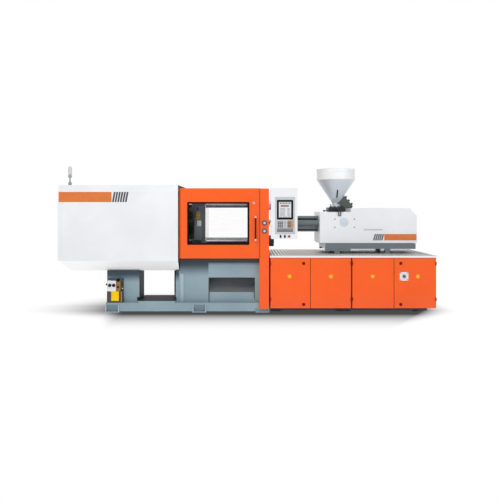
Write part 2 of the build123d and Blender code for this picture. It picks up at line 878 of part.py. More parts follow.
# Signal lamp: foot, stem, ball and domed lens
with BuildPart() as signal_lamp:
    foot_middle_z = cover_top_z + lamp_base_height / 2
    foot_top_z = cover_top_z + lamp_base_height
    stem_top_z = foot_top_z + lamp_stem_height
    lens_bottom_z = stem_top_z + lamp_ball_height
    lens_top_z = lens_bottom_z + lamp_lens_height
    rod_z(cover_top_z, foot_middle_z, lamp_x, lamp_y, lamp_base_radius)
    with Locations((lamp_x, lamp_y, (foot_middle_z + foot_top_z) / 2)):
        Cone(lamp_base_radius, lamp_stem_radius, foot_top_z - foot_middle_z)
    rod_z(foot_top_z, stem_top_z + lamp_ball_height / 2, lamp_x, lamp_y, lamp_stem_radius)
    with Locations((lamp_x, lamp_y, stem_top_z + lamp_ball_height / 2)):
        Sphere(lamp_ball_radius)
    rod_z(lens_bottom_z, lens_top_z, lamp_x, lamp_y, lamp_lens_radius)
    fillet(signal_lamp.edges().group_by(Axis.Z)[-1], lamp_dome_radius)
finish(signal_lamp, "signal_lamp")


def link_outline(plane, eyes, holes=()):
    """A link plate's outline: the hull round its eyes, each (x, z, radius), less its holes."""
    with BuildSketch(plane) as outline:
        for x, z, radius in eyes:
            with Locations((x, z)):
                Circle(radius)
        make_hull()
        for x, z, radius in holes:
            with Locations((x, z)):
                Circle(radius, mode=Mode.SUBTRACT)
    return outline.sketch


def raised(point, half):
    """A toggle point of the upper (1) or lower (-1) half, in machine height."""
    return (point[0], clamp_axis_z + half * point[1])


# Tail platen with its ears, pivot pins and crosshead guide rods
with BuildPart() as tail_platen:
    with BuildSketch(side_plane(tail_back_x)):
        with Locations((0, clamp_axis_z)):
            RectangleRounded(2 * platen_half, 2 * platen_half, platen_corner_radius)
            Circle(tail_bore_radius, mode=Mode.SUBTRACT)
            with GridLocations(2 * tie_bar_offset, 2 * tie_bar_offset, 2, 2):
                Circle(tie_bar_radius + bore_clearance, mode=Mode.SUBTRACT)
    extrude(amount=tail_platen_thickness)
    for side in (-1, 1):
        middle_y = side * (slideway_inner_y + slideway_outer_y) / 2
        bar(tail_back_x, tail_face_x, middle_y - slideway_width / 2, middle_y + slideway_width / 2,
            slideway_top_z, platen_bottom_z + platen_shoe)
        rod_x(tail_face_x, guide_rod_end_x, side * guide_rod_y, clamp_axis_z, guide_rod_radius)
        for half in (-1, 1):
            ear_x, ear_z = raised(tail_pivot, half)
            root_z = clamp_axis_z + half * (platen_half - tail_ear_root_radius)
            start_y = outer_ear_outer_y if side > 0 else -outer_ear_inner_y
            outline = link_outline(
                front_plane(start_y),
                ((ear_x, ear_z, ear_radius), (tail_face_x - tail_ear_root_radius, root_z,
                    tail_ear_root_radius)),
            )
            extrude(outline, amount=outer_ear_plate)
            pin_end_y = rear_link_inner_y - layer_gap / 2
            middle_y = side * (outer_ear_outer_y + pin_end_y) / 2
            half_pin = (outer_ear_outer_y - pin_end_y) / 2
            rod_y(middle_y - half_pin, middle_y + half_pin, ear_x, ear_z, pivot_pin_radius)
finish(tail_platen, "tail_platen")

# Clamp cylinder, bolted behind the tail platen
with BuildPart() as clamp_cylinder:
    flange_left_x = tail_back_x - cylinder_flange_length
    bore_left_x = flange_left_x - crosshead_stroke - piston_length - 2 * cylinder_end_clearance
    cap_left_x = bore_left_x - cylinder_cap_length
    rod_x(flange_left_x, tail_back_x, 0, clamp_axis_z, cylinder_flange_radius)
    rod_x(bore_left_x, flange_left_x, 0, clamp_axis_z, cylinder_outer_radius)
    rod_x(cap_left_x, bore_left_x, 0, clamp_axis_z, cylinder_outer_radius + cylinder_cap_step)
    rod_x(bore_left_x, flange_left_x, 0, clamp_axis_z, cylinder_bore_radius, Mode.SUBTRACT)
    rod_x(flange_left_x, tail_back_x, 0, clamp_axis_z, piston_rod_radius + bore_clearance, Mode.SUBTRACT)
    with Locations(Plane(origin=(flange_left_x, 0, clamp_axis_z), x_dir=(0, 1, 0), z_dir=(-1, 0, 0))):
        with PolarLocations((cylinder_outer_radius + cylinder_flange_radius) / 2, cylinder_bolt_count):
            Cylinder(cylinder_bolt_radius, cylinder_bolt_height,
                align=(Align.CENTER, Align.CENTER, Align.MIN))
finish(clamp_cylinder, "clamp_cylinder")

# Tie bars and their nuts
tie_bar_left_x = tail_back_x - tie_bar_tail_length
tie_bar_right_x = fixed_back_x + fixed_nut_length - nut_bevel
with BuildPart() as tie_bars:
    with BuildSketch(side_plane(tie_bar_left_x)):
        with Locations((0, clamp_axis_z)):
            with GridLocations(2 * tie_bar_offset, 2 * tie_bar_offset, 2, 2):
                Circle(tie_bar_radius)
    extrude(amount=tie_bar_right_x - tie_bar_left_x)
finish(tie_bars, "tie_bars")

with BuildPart() as tie_bar_nuts:
    for start_x, length in ((tail_back_x - tail_nut_length, tail_nut_length),
            (fixed_back_x, fixed_nut_length)):
        with BuildSketch(side_plane(start_x)):
            with Locations((0, clamp_axis_z)):
                with GridLocations(2 * tie_bar_offset, 2 * tie_bar_offset, 2, 2):
                    Circle(nut_radius)
                    Circle(tie_bar_radius + bore_clearance, mode=Mode.SUBTRACT)
        extrude(amount=length)
    nut_circles = tie_bar_nuts.edges().filter_by(GeomType.CIRCLE)
    chamfer(nut_circles.filter_by(lambda edge: edge.radius > tie_bar_radius * 1.5),
            nut_bevel)
finish(tie_bar_nuts, "tie_bar_nuts")

# Fixed platen with its locating ring seat, nozzle cone, mould bolt holes and pull rods
with BuildPart() as stationary_platen:
    with BuildSketch(side_plane(fixed_face_x)):
        with Locations((0, clamp_axis_z)):
            RectangleRounded(2 * platen_half, 2 * platen_half, platen_corner_radius)
            Circle(nozzle_hole_radius, mode=Mode.SUBTRACT)
            with GridLocations(2 * tie_bar_offset, 2 * tie_bar_offset, 2, 2):
                Circle(tie_bar_radius + bore_clearance, mode=Mode.SUBTRACT)
    extrude(amount=fixed_platen_thickness)
    bar(leg_three_left_x, fixed_back_x, -slideway_outer_y, slideway_outer_y, slideway_top_z,
        platen_bottom_z + platen_shoe)
    rod_x(fixed_face_x, fixed_face_x + locating_depth, 0, clamp_axis_z, locating_radius, Mode.SUBTRACT)
    with Locations((fixed_back_x - nozzle_cone_depth / 2, 0, clamp_axis_z)):
        Cone(nozzle_hole_radius, nozzle_cone_radius, nozzle_cone_depth, rotation=(0, 90, 0),
            mode=Mode.SUBTRACT)
    for span_y, span_z in mould_bolt_spans:
        for bolt_y in (-span_y / 2, span_y / 2):
            for bolt_z in (-span_z / 2, span_z / 2):
                rod_x(fixed_face_x, fixed_face_x + mould_bolt_depth, bolt_y, clamp_axis_z + bolt_z,
                      mould_bolt_radius, Mode.SUBTRACT)
    for side in (-1, 1):
        rod_x(fixed_back_x, pull_piston_right_x, side * pull_cylinder_y, pull_cylinder_z, pull_rod_radius)
        rod_x(pull_piston_right_x - pull_piston_length, pull_piston_right_x, side * pull_cylinder_y,
              pull_cylinder_z, pull_piston_radius)
finish(stationary_platen, "stationary_platen")

# Moving platen with its ribs, link ears, wear shoes and ejector cylinder
with BuildPart() as moving_platen:
    with BuildSketch(side_plane(moving_plate_back_x)):
        with Locations((0, clamp_axis_z)):
            RectangleRounded(2 * platen_half, 2 * platen_half, platen_corner_radius)
    extrude(amount=moving_plate)
    for side in (-1, 1):
        start_y = platen_half if side > 0 else -side_rib_inner_y
        with BuildSketch(front_plane(start_y)) as rib:
            with BuildLine():
                Polyline(
                    (moving_plate_back_x, clamp_axis_z - rib_low_drop),
                    (moving_back_x, clamp_axis_z + rib_shoulder_rise),
                    (moving_back_x, clamp_axis_z + rib_top_rise - rib_shoulder_cut),
                    (moving_plate_back_x, clamp_axis_z + rib_top_rise),
                    close=True,
                )
            make_face()
        extrude(amount=platen_half - side_rib_inner_y)
        shoe_middle_y = side * (slideway_inner_y + slideway_outer_y) / 2
        bar(moving_back_x, moving_face_x, shoe_middle_y - slideway_width / 2,
            shoe_middle_y + slideway_width / 2,
            slideway_top_z + running_gap, platen_bottom_z + platen_shoe)
        bar(moving_back_x, moving_plate_back_x, shoe_middle_y - slideway_web / 2,
            shoe_middle_y + slideway_web / 2, platen_bottom_z, clamp_axis_z - tie_bar_offset)
        for half in (-1, 1):
            rod_x(moving_back_x, moving_plate_back_x, side * tie_bar_offset,
                  clamp_axis_z + half * tie_bar_offset, bar_boss_radius)
            ear_x, ear_z = raised(front_pivot, half)
            ear_start_y = front_ear_outer_y if side > 0 else -front_ear_inner_y
            root_x = moving_plate_back_x - ear_root_radius / 2
            outline = link_outline(
                front_plane(ear_start_y),
                (
                    (ear_x, ear_z, ear_radius),
                    (root_x, clamp_axis_z + half * ear_root_low, ear_root_radius),
                    (root_x, clamp_axis_z + half * (platen_half - ear_root_radius), ear_root_radius),
                ),
            )
            extrude(outline, amount=rear_link_plate)
    for half in (-1, 1):
        ear_x, ear_z = raised(front_pivot, half)
        rod_y(-front_ear_outer_y, front_ear_outer_y, ear_x, ear_z, pivot_pin_radius)
    # Bridge behind the ejector plate, with the ejector cylinder on it
    bar(ejector_wall_left_x, ejector_wall_left_x + ejector_wall, -front_ear_outer_y, front_ear_outer_y,
        clamp_axis_z - front_pivot_z, clamp_axis_z + front_pivot_z)
    rod_x(ejector_tube_left_x, ejector_wall_left_x, 0, clamp_axis_z, ejector_tube_radius)
    rod_x(ejector_tube_left_x + ejector_wall, ejector_wall_left_x, 0, clamp_axis_z, ejector_bore_radius,
          Mode.SUBTRACT)
    rod_x(ejector_wall_left_x, ejector_wall_left_x + ejector_wall, 0, clamp_axis_z,
          ejector_rod_radius + bore_clearance, Mode.SUBTRACT)
    for half in (-1, 1):
        rod_x(moving_plate_back_x, moving_face_x, 0, clamp_axis_z + half * ejector_pin_offset,
              ejector_pin_radius + bore_clearance, Mode.SUBTRACT)
        for side in (-1, 1):
            rod_x(moving_back_x, moving_face_x, side * tie_bar_offset, clamp_axis_z + half * tie_bar_offset,
                  tie_bar_radius + bore_clearance, Mode.SUBTRACT)
    for span_y, span_z in mould_bolt_spans:
        for bolt_y in (-span_y / 2, span_y / 2):
            for bolt_z in (-span_z / 2, span_z / 2):
                rod_x(moving_face_x - mould_bolt_depth, moving_face_x, bolt_y, clamp_axis_z + bolt_z,
                      mould_bolt_radius, Mode.SUBTRACT)
finish(moving_platen, "moving_platen")

# Ejector plate with its pins, rod and piston, drawn back
with BuildPart() as ejector:
    plate_right_x = ejector_plate_left_x + ejector_plate_thickness
    with BuildSketch(side_plane(ejector_plate_left_x)):
        with Locations((0, clamp_axis_z)):
            RectangleRounded(2 * ejector_plate_half_y, 2 * ejector_plate_half_z, ejector_pin_radius)
    extrude(amount=ejector_plate_thickness)
    for half in (-1, 1):
        rod_x(plate_right_x, moving_face_x - ejector_pin_set_back, 0,
              clamp_axis_z + half * ejector_pin_offset, ejector_pin_radius)
    rod_x(ejector_piston_left_x, ejector_plate_left_x, 0, clamp_axis_z, ejector_rod_radius)
    rod_x(ejector_piston_left_x, ejector_piston_left_x + ejector_piston_length, 0, clamp_axis_z,
          ejector_piston_radius)
finish(ejector, "ejector")

# Toggle links. The knees and the drive eyes stay clear of their neighbours side by side.
half_names = {1: "upper", -1: "lower"}
for half, half_name in half_names.items():
    ear_x, ear_z = raised(tail_pivot, half)
    knee_x, knee_z = raised(knee, half)
    eye_x, eye_z = raised(eye_open, half)
    end_x, end_z = raised(front_pivot, half)
    drive_x, drive_z = raised(drive_pivot, half)

    with BuildPart() as rear_link:
        for start_y in (rear_link_inner_y + rear_link_plate, -rear_link_inner_y):
            outline = link_outline(
                front_plane(start_y),
                ((ear_x, ear_z, ear_radius), (knee_x, knee_z, ear_radius), (eye_x, eye_z, drive_eye_radius)),
                ((ear_x, ear_z, pivot_pin_radius + bore_clearance),),
            )
            extrude(outline, amount=rear_link_plate)
    finish(rear_link, "rear_link_" + half_name)

    with BuildPart() as front_link:
        for start_y in (front_link_inner_y + front_link_plate, -front_link_inner_y):
            outline = link_outline(
                front_plane(start_y),
                ((knee_x, knee_z, ear_radius), (end_x, end_z, ear_radius)),
                ((end_x, end_z, pivot_pin_radius + bore_clearance),),
            )
            extrude(outline, amount=front_link_plate)
        web_start = (knee_x + (end_x - knee_x) * front_web_start, knee_z + (end_z - knee_z) * front_web_start)
        web_end = (knee_x + (end_x - knee_x) * front_web_end, knee_z + (end_z - knee_z) * front_web_end)
        web = link_outline(
            front_plane(front_link_inner_y),
            ((*web_start, front_web_radius), (*web_end, front_web_radius)),
        )
        extrude(web, amount=2 * front_link_inner_y)
    finish(front_link, "front_link_" + half_name)

    with BuildPart() as crosshead_link:
        outline = link_outline(
            front_plane(drive_link_half_y),
            ((eye_x, eye_z, drive_link_radius), (drive_x, drive_z, drive_link_radius)),
            ((drive_x, drive_z, drive_pin_radius + bore_clearance),),
        )
        extrude(outline, amount=2 * drive_link_half_y)
    finish(crosshead_link, "crosshead_link_" + half_name)

# Crosshead on its two guide rods, with the clamp piston
with BuildPart() as crosshead:
    left_x = crosshead_open_x - crosshead_half_x
    right_x = crosshead_open_x + crosshead_half_x
    ear_outer_y = front_link_inner_y + front_link_plate
    block_half_z = drive_pivot_z - drive_link_radius - layer_gap
    bar(left_x, right_x, -ear_outer_y, ear_outer_y, clamp_axis_z - block_half_z, clamp_axis_z + block_half_z)
    for half in (-1, 1):
        drive_x, drive_z = raised(drive_pivot, half)
        for start_y in (ear_outer_y, -front_link_inner_y):
            outline = link_outline(
                front_plane(start_y),
                ((drive_x, drive_z, crosshead_ear_radius),
                 (drive_x, clamp_axis_z + half * (block_half_z - crosshead_half_x), crosshead_half_x)),
            )
            extrude(outline, amount=front_link_plate)
        rod_y(-ear_outer_y, ear_outer_y, drive_x, drive_z, drive_pin_radius)
    bar(left_x, right_x, -guide_rod_y, guide_rod_y, clamp_axis_z - crosshead_wing_half_z,
        clamp_axis_z + crosshead_wing_half_z)
    for side in (-1, 1):
        rod_x(crosshead_open_x - guide_sleeve_half, crosshead_open_x + guide_sleeve_half, side * guide_rod_y,
              clamp_axis_z, guide_sleeve_radius)
    for side in (-1, 1):
        rod_x(crosshead_open_x - guide_sleeve_half, crosshead_open_x + guide_sleeve_half, side * guide_rod_y,
              clamp_axis_z, guide_rod_radius + bore_clearance, Mode.SUBTRACT)
    piston_left_x = bore_left_x + cylinder_end_clearance
    rod_x(piston_left_x, left_x, 0, clamp_axis_z, piston_rod_radius)
    rod_x(piston_left_x, piston_left_x + piston_length, 0, clamp_axis_z, piston_radius)
finish(crosshead, "crosshead")

# Front safety gate, a deep pan with a window
with BuildPart() as front_gate:
    with BuildSketch(Plane.XY.offset(gate_bottom_z)) as gate_plan:
        with BuildLine():
            Polyline(
                (gate_left_x, -gate_back_y),
                (gate_left_x, gate_edge_radius - gate_front_y),
            )
            RadiusArc(
                (gate_left_x, gate_edge_radius - gate_front_y),
                (gate_left_x + gate_edge_radius, -gate_front_y),
                -gate_edge_radius,
            )
            Polyline(
                (gate_left_x + gate_edge_radius, -gate_front_y),
                (gate_right_x, -gate_front_y),
                (gate_right_x, -gate_back_y),
                (gate_left_x, -gate_back_y),
            )
        make_face()
    extrude(amount=gate_top_z - gate_bottom_z)
    # The pan is open behind, between a box section above and one below
    pocket_top_z = upper_gate_rail_bottom_z - gate_box_edge
    bar(gate_left_x + gate_edge_radius, gate_right_x - gate_skin, gate_skin - gate_front_y, -gate_back_y,
        gate_bottom_z + gate_box_edge, pocket_top_z, Mode.SUBTRACT)
    with BuildSketch(front_plane(-gate_front_y)):
        with Locations(((window_left_x + window_right_x) / 2, (window_bottom_z + window_top_z) / 2)):
            RectangleRounded(window_right_x - window_left_x, window_top_z - window_bottom_z,
                window_corner_radius)
    extrude(amount=-gate_thickness, mode=Mode.SUBTRACT)
    rod_y(-gate_front_y - gate_lock_reach, -gate_front_y, gate_lock_x, gate_lock_z, gate_lock_radius)
finish(front_gate, "front_gate")

with BuildPart() as front_gate_window:
    pane_front_y = gate_skin - gate_front_y
    bar(window_left_x - pane_lap, window_right_x + pane_lap, pane_front_y, pane_front_y + pane_thickness,
        window_bottom_z - pane_lap, window_top_z + pane_lap)
finish(front_gate_window, "front_gate_window")

with BuildPart() as front_gate_handle:
    bar_y = -gate_front_y - handle_reach + handle_radius
    rod_z(handle_bottom_z, handle_top_z, handle_x, bar_y, handle_radius)
    for end_z in (handle_bottom_z, handle_top_z - handle_end_length):
        bar(handle_x - handle_radius, handle_x + handle_radius, bar_y, -gate_front_y, end_z,
            end_z + handle_end_length)
finish(front_gate_handle, "front_gate_handle")

# Rear safety gate, the front one's mirror image, with its handle welded on
with BuildPart() as rear_gate:
    add(front_gate.part.mirror(Plane.XZ))
    add(front_gate_handle.part.mirror(Plane.XZ))
finish(rear_gate, "rear_gate")

with BuildPart() as rear_gate_window:
    add(front_gate_window.part.mirror(Plane.XZ))
finish(rear_gate_window, "rear_gate_window")

# Posts beside the fixed platen
with BuildPart() as front_post:
    bar(post_left_x, post_right_x, -half_depth, -bed_leg_front_y, post_bottom_z, post_top_z)
    for row in range(2):
        button_z = post_button_low_z + row * post_button_pitch
        rod_y(-half_depth - post_bezel_reach, -half_depth, post_button_x, button_z, post_bezel_radius)
        rod_y(-half_depth - post_bezel_reach, -half_depth + post_button_depth + 2 * button_travel,
              post_button_x, button_z, post_button_radius + button_clearance, Mode.SUBTRACT)
    for low_z in (panel_knuckle_low_z, panel_knuckle_high_z):
        knuckle_top_z = low_z + panel_knuckle_length / 2
        rod_z(low_z, knuckle_top_z, panel_hinge_x, panel_hinge_y, panel_knuckle_radius)
        bar(post_right_x, panel_hinge_x, panel_hinge_y - panel_knuckle_radius, panel_hinge_y, low_z,
            knuckle_top_z)
        rod_z(knuckle_top_z, low_z + panel_knuckle_length, panel_hinge_x, panel_hinge_y, panel_pin_radius)
finish(front_post, "front_post")

with BuildPart() as rear_post:
    bar(post_left_x, post_right_x, bed_leg_front_y, half_depth, post_bottom_z, post_top_z)
finish(rear_post, "rear_post")

for row, name in enumerate(("post_button_lower", "post_button_upper")):
    with BuildPart() as post_button:
        rod_y(-half_depth - post_button_reach, -half_depth + post_button_depth, post_button_x,
              post_button_low_z + row * post_button_pitch, post_button_radius)
    finish(post_button, name)

# Control panel on two loose-pin hinges
with BuildPart() as control_panel:
    panel_front_y = -half_depth
    panel_back_y = panel_front_y + panel_depth
    panel_middle_x = (panel_left_x + panel_right_x) / 2
    with BuildSketch(front_plane(panel_front_y)):
        with Locations((panel_middle_x, (panel_bottom_z + panel_top_z) / 2)):
            RectangleRounded(panel_right_x - panel_left_x, panel_top_z - panel_bottom_z, panel_edge_radius)
    extrude(amount=-panel_depth)
    keypad_right_x = keypad_left_x + keypad_width
    bar(keypad_left_x, keypad_right_x, panel_front_y - keypad_raise, panel_front_y, keypad_bottom_z,
        keypad_top_z)
    bezel_right_x = bezel_left_x + bezel_width
    bar(bezel_left_x, bezel_right_x, panel_front_y - bezel_raise, panel_front_y, bezel_bottom_z, bezel_top_z)
    bar(bezel_left_x + screen_margin, bezel_right_x - screen_margin, panel_front_y - bezel_raise,
        panel_front_y - bezel_raise + screen_recess, bezel_bottom_z + screen_margin,
        bezel_top_z - screen_margin,
        Mode.SUBTRACT)
    for column in range(3):
        rod_y(panel_front_y, panel_front_y + panel_button_depth + 2 * panel_button_travel,
              panel_button_x + column * panel_button_pitch, panel_button_z,
              panel_button_radius + button_clearance, Mode.SUBTRACT)
    for low_z in (panel_knuckle_low_z, panel_knuckle_high_z):
        knuckle_bottom_z = low_z + panel_knuckle_length / 2 + running_gap
        knuckle_top_z = low_z + panel_knuckle_length
        rod_z(knuckle_bottom_z, knuckle_top_z, panel_hinge_x, panel_hinge_y, panel_knuckle_radius)
        bar(panel_hinge_x, panel_left_x, panel_hinge_y - panel_knuckle_radius, panel_hinge_y,
            knuckle_bottom_z, knuckle_top_z)
        rod_z(knuckle_bottom_z, knuckle_top_z, panel_hinge_x, panel_hinge_y,
              panel_pin_radius + bore_clearance, Mode.SUBTRACT)
finish(control_panel, "control_panel")

for column, name in enumerate(("panel_button_left", "panel_button_middle", "panel_button_right")):
    with BuildPart() as panel_button:
        rod_y(panel_front_y - panel_button_reach, panel_front_y + panel_button_depth,
              panel_button_x + column * panel_button_pitch, panel_button_z, panel_button_radius)
    finish(panel_button, name)

# Lubrication unit: back plate, pump bodies and head in one, with the tank between them
with BuildPart() as lube_unit:
    lube_back_y = -bed_leg_front_y - lube_base
    bar(lube_left_x, lube_right_x, lube_back_y, -bed_leg_front_y, bed_rail_top_z, lube_head_top_z)
    bar(lube_left_x, lube_right_x, lube_front_y, lube_back_y, bed_rail_top_z, lube_tank_bottom_z)
    bar(lube_left_x, lube_tank_left_x, lube_front_y, lube_back_y, lube_tank_bottom_z, lube_tank_top_z)
    bar(lube_tank_right_x, lube_right_x, lube_front_y, lube_back_y, lube_tank_bottom_z, lube_tank_top_z)
    bar(lube_tank_left_x, lube_tank_right_x, lube_front_y, lube_back_y, lube_head_bottom_z, lube_head_top_z)
    for column in range(2):
        rod_y(lube_front_y, lube_back_y, lube_tank_left_x + lube_knob_radius + column * lube_knob_pitch,
              lube_knob_z, lube_knob_radius)
    rod_y(lube_front_y, lube_back_y, lube_right_x - lube_gauge_radius, lube_gauge_z, lube_gauge_radius)
finish(lube_unit, "lube_unit")

with BuildPart() as lube_tank:
    tank_middle_x = (lube_tank_left_x + lube_tank_right_x) / 2
    with BuildSketch(Plane.XY.offset(lube_tank_bottom_z)):
        with Locations((tank_middle_x, (lube_front_y + lube_back_y) / 2)):
            RectangleRounded(lube_tank_right_x - lube_tank_left_x, lube_back_y - lube_front_y,
                lube_tank_corner)
    extrude(amount=lube_tank_top_z - lube_tank_bottom_z)
finish(lube_tank, "lube_tank")

# Base cabinet frame with its tray, plinth, feet, side and rear panels and hinge brackets
frame_front_y = -base_frame_front_y
frame_post_top_z = base_top_z - base_header_height
tray_top_z = base_tray_bottom_z + base_tray_thickness
door_front_y = -half_depth
door_back_y = frame_front_y - running_gap
hinge_y = door_front_y - door_hinge_reach
hinge_sides = (1, -1, 1, -1)
door_hinge_x = tuple(
    door_edges_x[index] + door_hinge_inset if side > 0 else door_edges_x[index + 1] - door_hinge_inset
    for index, side in enumerate(hinge_sides)
)
with BuildPart() as base_frame:
    bar(base_left_x, base_right_x, frame_front_y, base_rear_y, base_tray_bottom_z, tray_top_z)
    for side in (-1, 1):
        outer_y = side * plinth_inset_y
        inner_y = side * (plinth_inset_y - plinth_width)
        bar(plinth_left_x, plinth_right_x, min(outer_y, inner_y), max(outer_y, inner_y),
            foot_plate, base_tray_bottom_z)
        for foot_x, length in base_feet:
            bar(foot_x, foot_x + length, min(outer_y, inner_y) - foot_reach,
                max(outer_y, inner_y) + foot_reach,
                0, foot_plate)
    for start_x in (plinth_left_x, plinth_right_x - plinth_width):
        bar(start_x, start_x + plinth_width, -plinth_inset_y, plinth_inset_y, foot_plate, base_tray_bottom_z)
    for post_x in (base_left_x, base_divider_x - base_post_width / 2, base_right_x - base_post_width):
        bar(post_x, post_x + base_post_width, frame_front_y, frame_front_y + base_post_width, tray_top_z,
            frame_post_top_z)
        bar(post_x, post_x + base_post_width, base_rear_y - base_post_width, base_rear_y, tray_top_z,
            frame_post_top_z)
        bar(post_x, post_x + base_post_width, frame_front_y, base_rear_y, frame_post_top_z, base_top_z)
    bar(base_left_x, base_right_x, frame_front_y, frame_front_y + base_post_width, frame_post_top_z,
        base_top_z)
    bar(base_left_x, base_right_x, base_rear_y - base_post_width, base_rear_y, frame_post_top_z, base_top_z)
    bar(base_left_x, base_left_x + base_side_sheet, frame_front_y, base_rear_y, tray_top_z, frame_post_top_z)
    bar(base_right_x - base_side_sheet, base_right_x, frame_front_y, base_rear_y, tray_top_z,
        frame_post_top_z)
    bar(base_divider_x - base_side_sheet / 2, base_divider_x + base_side_sheet / 2, frame_front_y,
        base_rear_y,
        tray_top_z, frame_post_top_z)
    bar(base_left_x, base_right_x, base_rear_y - base_side_sheet, base_rear_y, tray_top_z, frame_post_top_z)
    for bay in range(4):
        vent_x = (door_edges_x[bay] + door_edges_x[bay + 1]) / 2
        for row in range(vent_rows):
            vent_z = vent_bottom_z + row * vent_pitch
            bar(vent_x - vent_width / 2, vent_x + vent_width / 2, base_rear_y - base_side_sheet, base_rear_y,
                vent_z, vent_z + vent_height, Mode.SUBTRACT)
    for index, side in enumerate(hinge_sides):
        for low_z in (door_knuckle_low_z, door_knuckle_high_z):
            axis_x = door_hinge_x[index]
            rod_z(low_z, low_z + door_knuckle_length, axis_x, hinge_y, door_knuckle_radius)
            root_x = axis_x - side * door_bracket_width
            bar(min(root_x, axis_x), max(root_x, axis_x), hinge_y, frame_front_y, low_z,
                low_z + door_knuckle_length)
            rod_z(low_z, low_z + 2 * door_knuckle_length, axis_x, hinge_y, door_pin_radius)
finish(base_frame, "base_frame")

# Doors, folded pans with two hinge knuckles each
for index, side in enumerate(hinge_sides):
    with BuildPart() as door:
        axis_x = door_hinge_x[index]
        left_clearance = door_hinge_clearance if side > 0 else door_seam / 2
        right_clearance = door_hinge_clearance if side < 0 else door_seam / 2
        leaf_left_x = door_edges_x[index] + left_clearance
        leaf_right_x = door_edges_x[index + 1] - right_clearance
        bar(leaf_left_x, leaf_right_x, door_front_y, door_back_y, door_bottom_z, door_top_z)
        bar(leaf_left_x + door_wall, leaf_right_x - door_wall, door_front_y + door_wall, door_back_y,
            door_bottom_z + door_wall, door_top_z - door_wall, Mode.SUBTRACT)
        for low_z in (door_knuckle_low_z, door_knuckle_high_z):
            knuckle_z = low_z + door_knuckle_length + running_gap
            knuckle_top_z = low_z + 2 * door_knuckle_length
            strap_x = axis_x + side * door_strap_length
            rod_z(knuckle_z, knuckle_top_z, axis_x, hinge_y, door_knuckle_radius)
            bar(min(axis_x, strap_x), max(axis_x, strap_x), hinge_y, door_front_y, knuckle_z, knuckle_top_z)
            rod_z(knuckle_z, knuckle_top_z, axis_x, hinge_y, door_pin_radius + bore_clearance, Mode.SUBTRACT)
        if index in latch_doors:
            latch_x = latch_position_x[index]
            for latch_z in (latch_low_z, latch_high_z):
                rod_y(door_front_y, door_front_y + door_wall, latch_x, latch_z,
                      latch_shaft_radius + bore_clearance, Mode.SUBTRACT)
        if index == 3:
            plate_half = switch_plate_size / 2
            bar(switch_plate_x - plate_half, switch_plate_x + plate_half,
                door_front_y - switch_plate_thickness,
                door_front_y, switch_plate_z - plate_half, switch_plate_z + plate_half)
            rod_y(door_front_y - switch_plate_thickness, door_front_y + door_wall, switch_plate_x,
                  switch_plate_z, switch_shaft_radius + bore_clearance, Mode.SUBTRACT)
    finish(door, "door_" + str(index + 1))

# Quarter-turn latches and the main switch, all turning about Y
for index in latch_doors:
    for level, latch_z in (("lower", latch_low_z), ("upper", latch_high_z)):
        with BuildPart() as latch:
            latch_x = latch_position_x[index]
            cam_y = door_front_y + door_wall + running_gap
            cam_side = -hinge_sides[index]
            cam_x = latch_x - latch_cam_width / 2
            rod_y(door_front_y - latch_knob_reach, door_front_y - running_gap, latch_x, latch_z,
                latch_knob_radius)
            rod_y(door_front_y - running_gap, cam_y + latch_cam_thickness, latch_x, latch_z,
                latch_shaft_radius)
            bar(cam_x, cam_x + latch_cam_width, cam_y, cam_y + latch_cam_thickness,
                latch_z - latch_cam_width / 2, latch_z + latch_cam_length)
        finish(latch, "latch_" + level + "_" + str(index + 1))

with BuildPart() as main_switch:
    plate_front_y = door_front_y - switch_plate_thickness
    rod_y(plate_front_y - switch_knob_reach, plate_front_y - running_gap, switch_plate_x, switch_plate_z,
          switch_knob_radius)
    rod_y(plate_front_y - running_gap, door_front_y + door_wall + latch_cam_thickness, switch_plate_x,
          switch_plate_z, switch_shaft_radius)
    with BuildSketch(front_plane(plate_front_y - switch_knob_reach)):
        with Locations((switch_plate_x, switch_plate_z)):
            SlotOverall(2 * (switch_knob_radius - switch_grip_inset), switch_grip_width, rotation=90)
    extrude(amount=switch_grip_reach)
finish(main_switch, "main_switch")

# Ribbed table over the cabinet
with BuildPart() as table_deck:
    sheet_top_z = base_top_z + deck_sheet
    deck_front_y = -half_depth
    bar(base_left_x, base_right_x, deck_front_y, half_depth, base_top_z, sheet_top_z)
    for side in (-1, 1):
        edge_y = side * half_depth
        lip_y = side * (half_depth - deck_lip_sheet)
        bar(base_left_x, base_right_x, min(edge_y, lip_y), max(edge_y, lip_y), base_top_z - deck_lip_height,
            base_top_z)
    rib_count = int((base_right_x - base_left_x) / deck_rib_pitch)
    rib_middle_x = (base_left_x + base_right_x) / 2
    with Locations((rib_middle_x, 0, sheet_top_z + deck_rib_height / 2)):
        with GridLocations(deck_rib_pitch, deck_rib_pitch, rib_count, 1):
            Box(deck_rib_width, 2 * half_depth - 2 * deck_lip_sheet, deck_rib_height)
finish(table_deck, "table_deck")

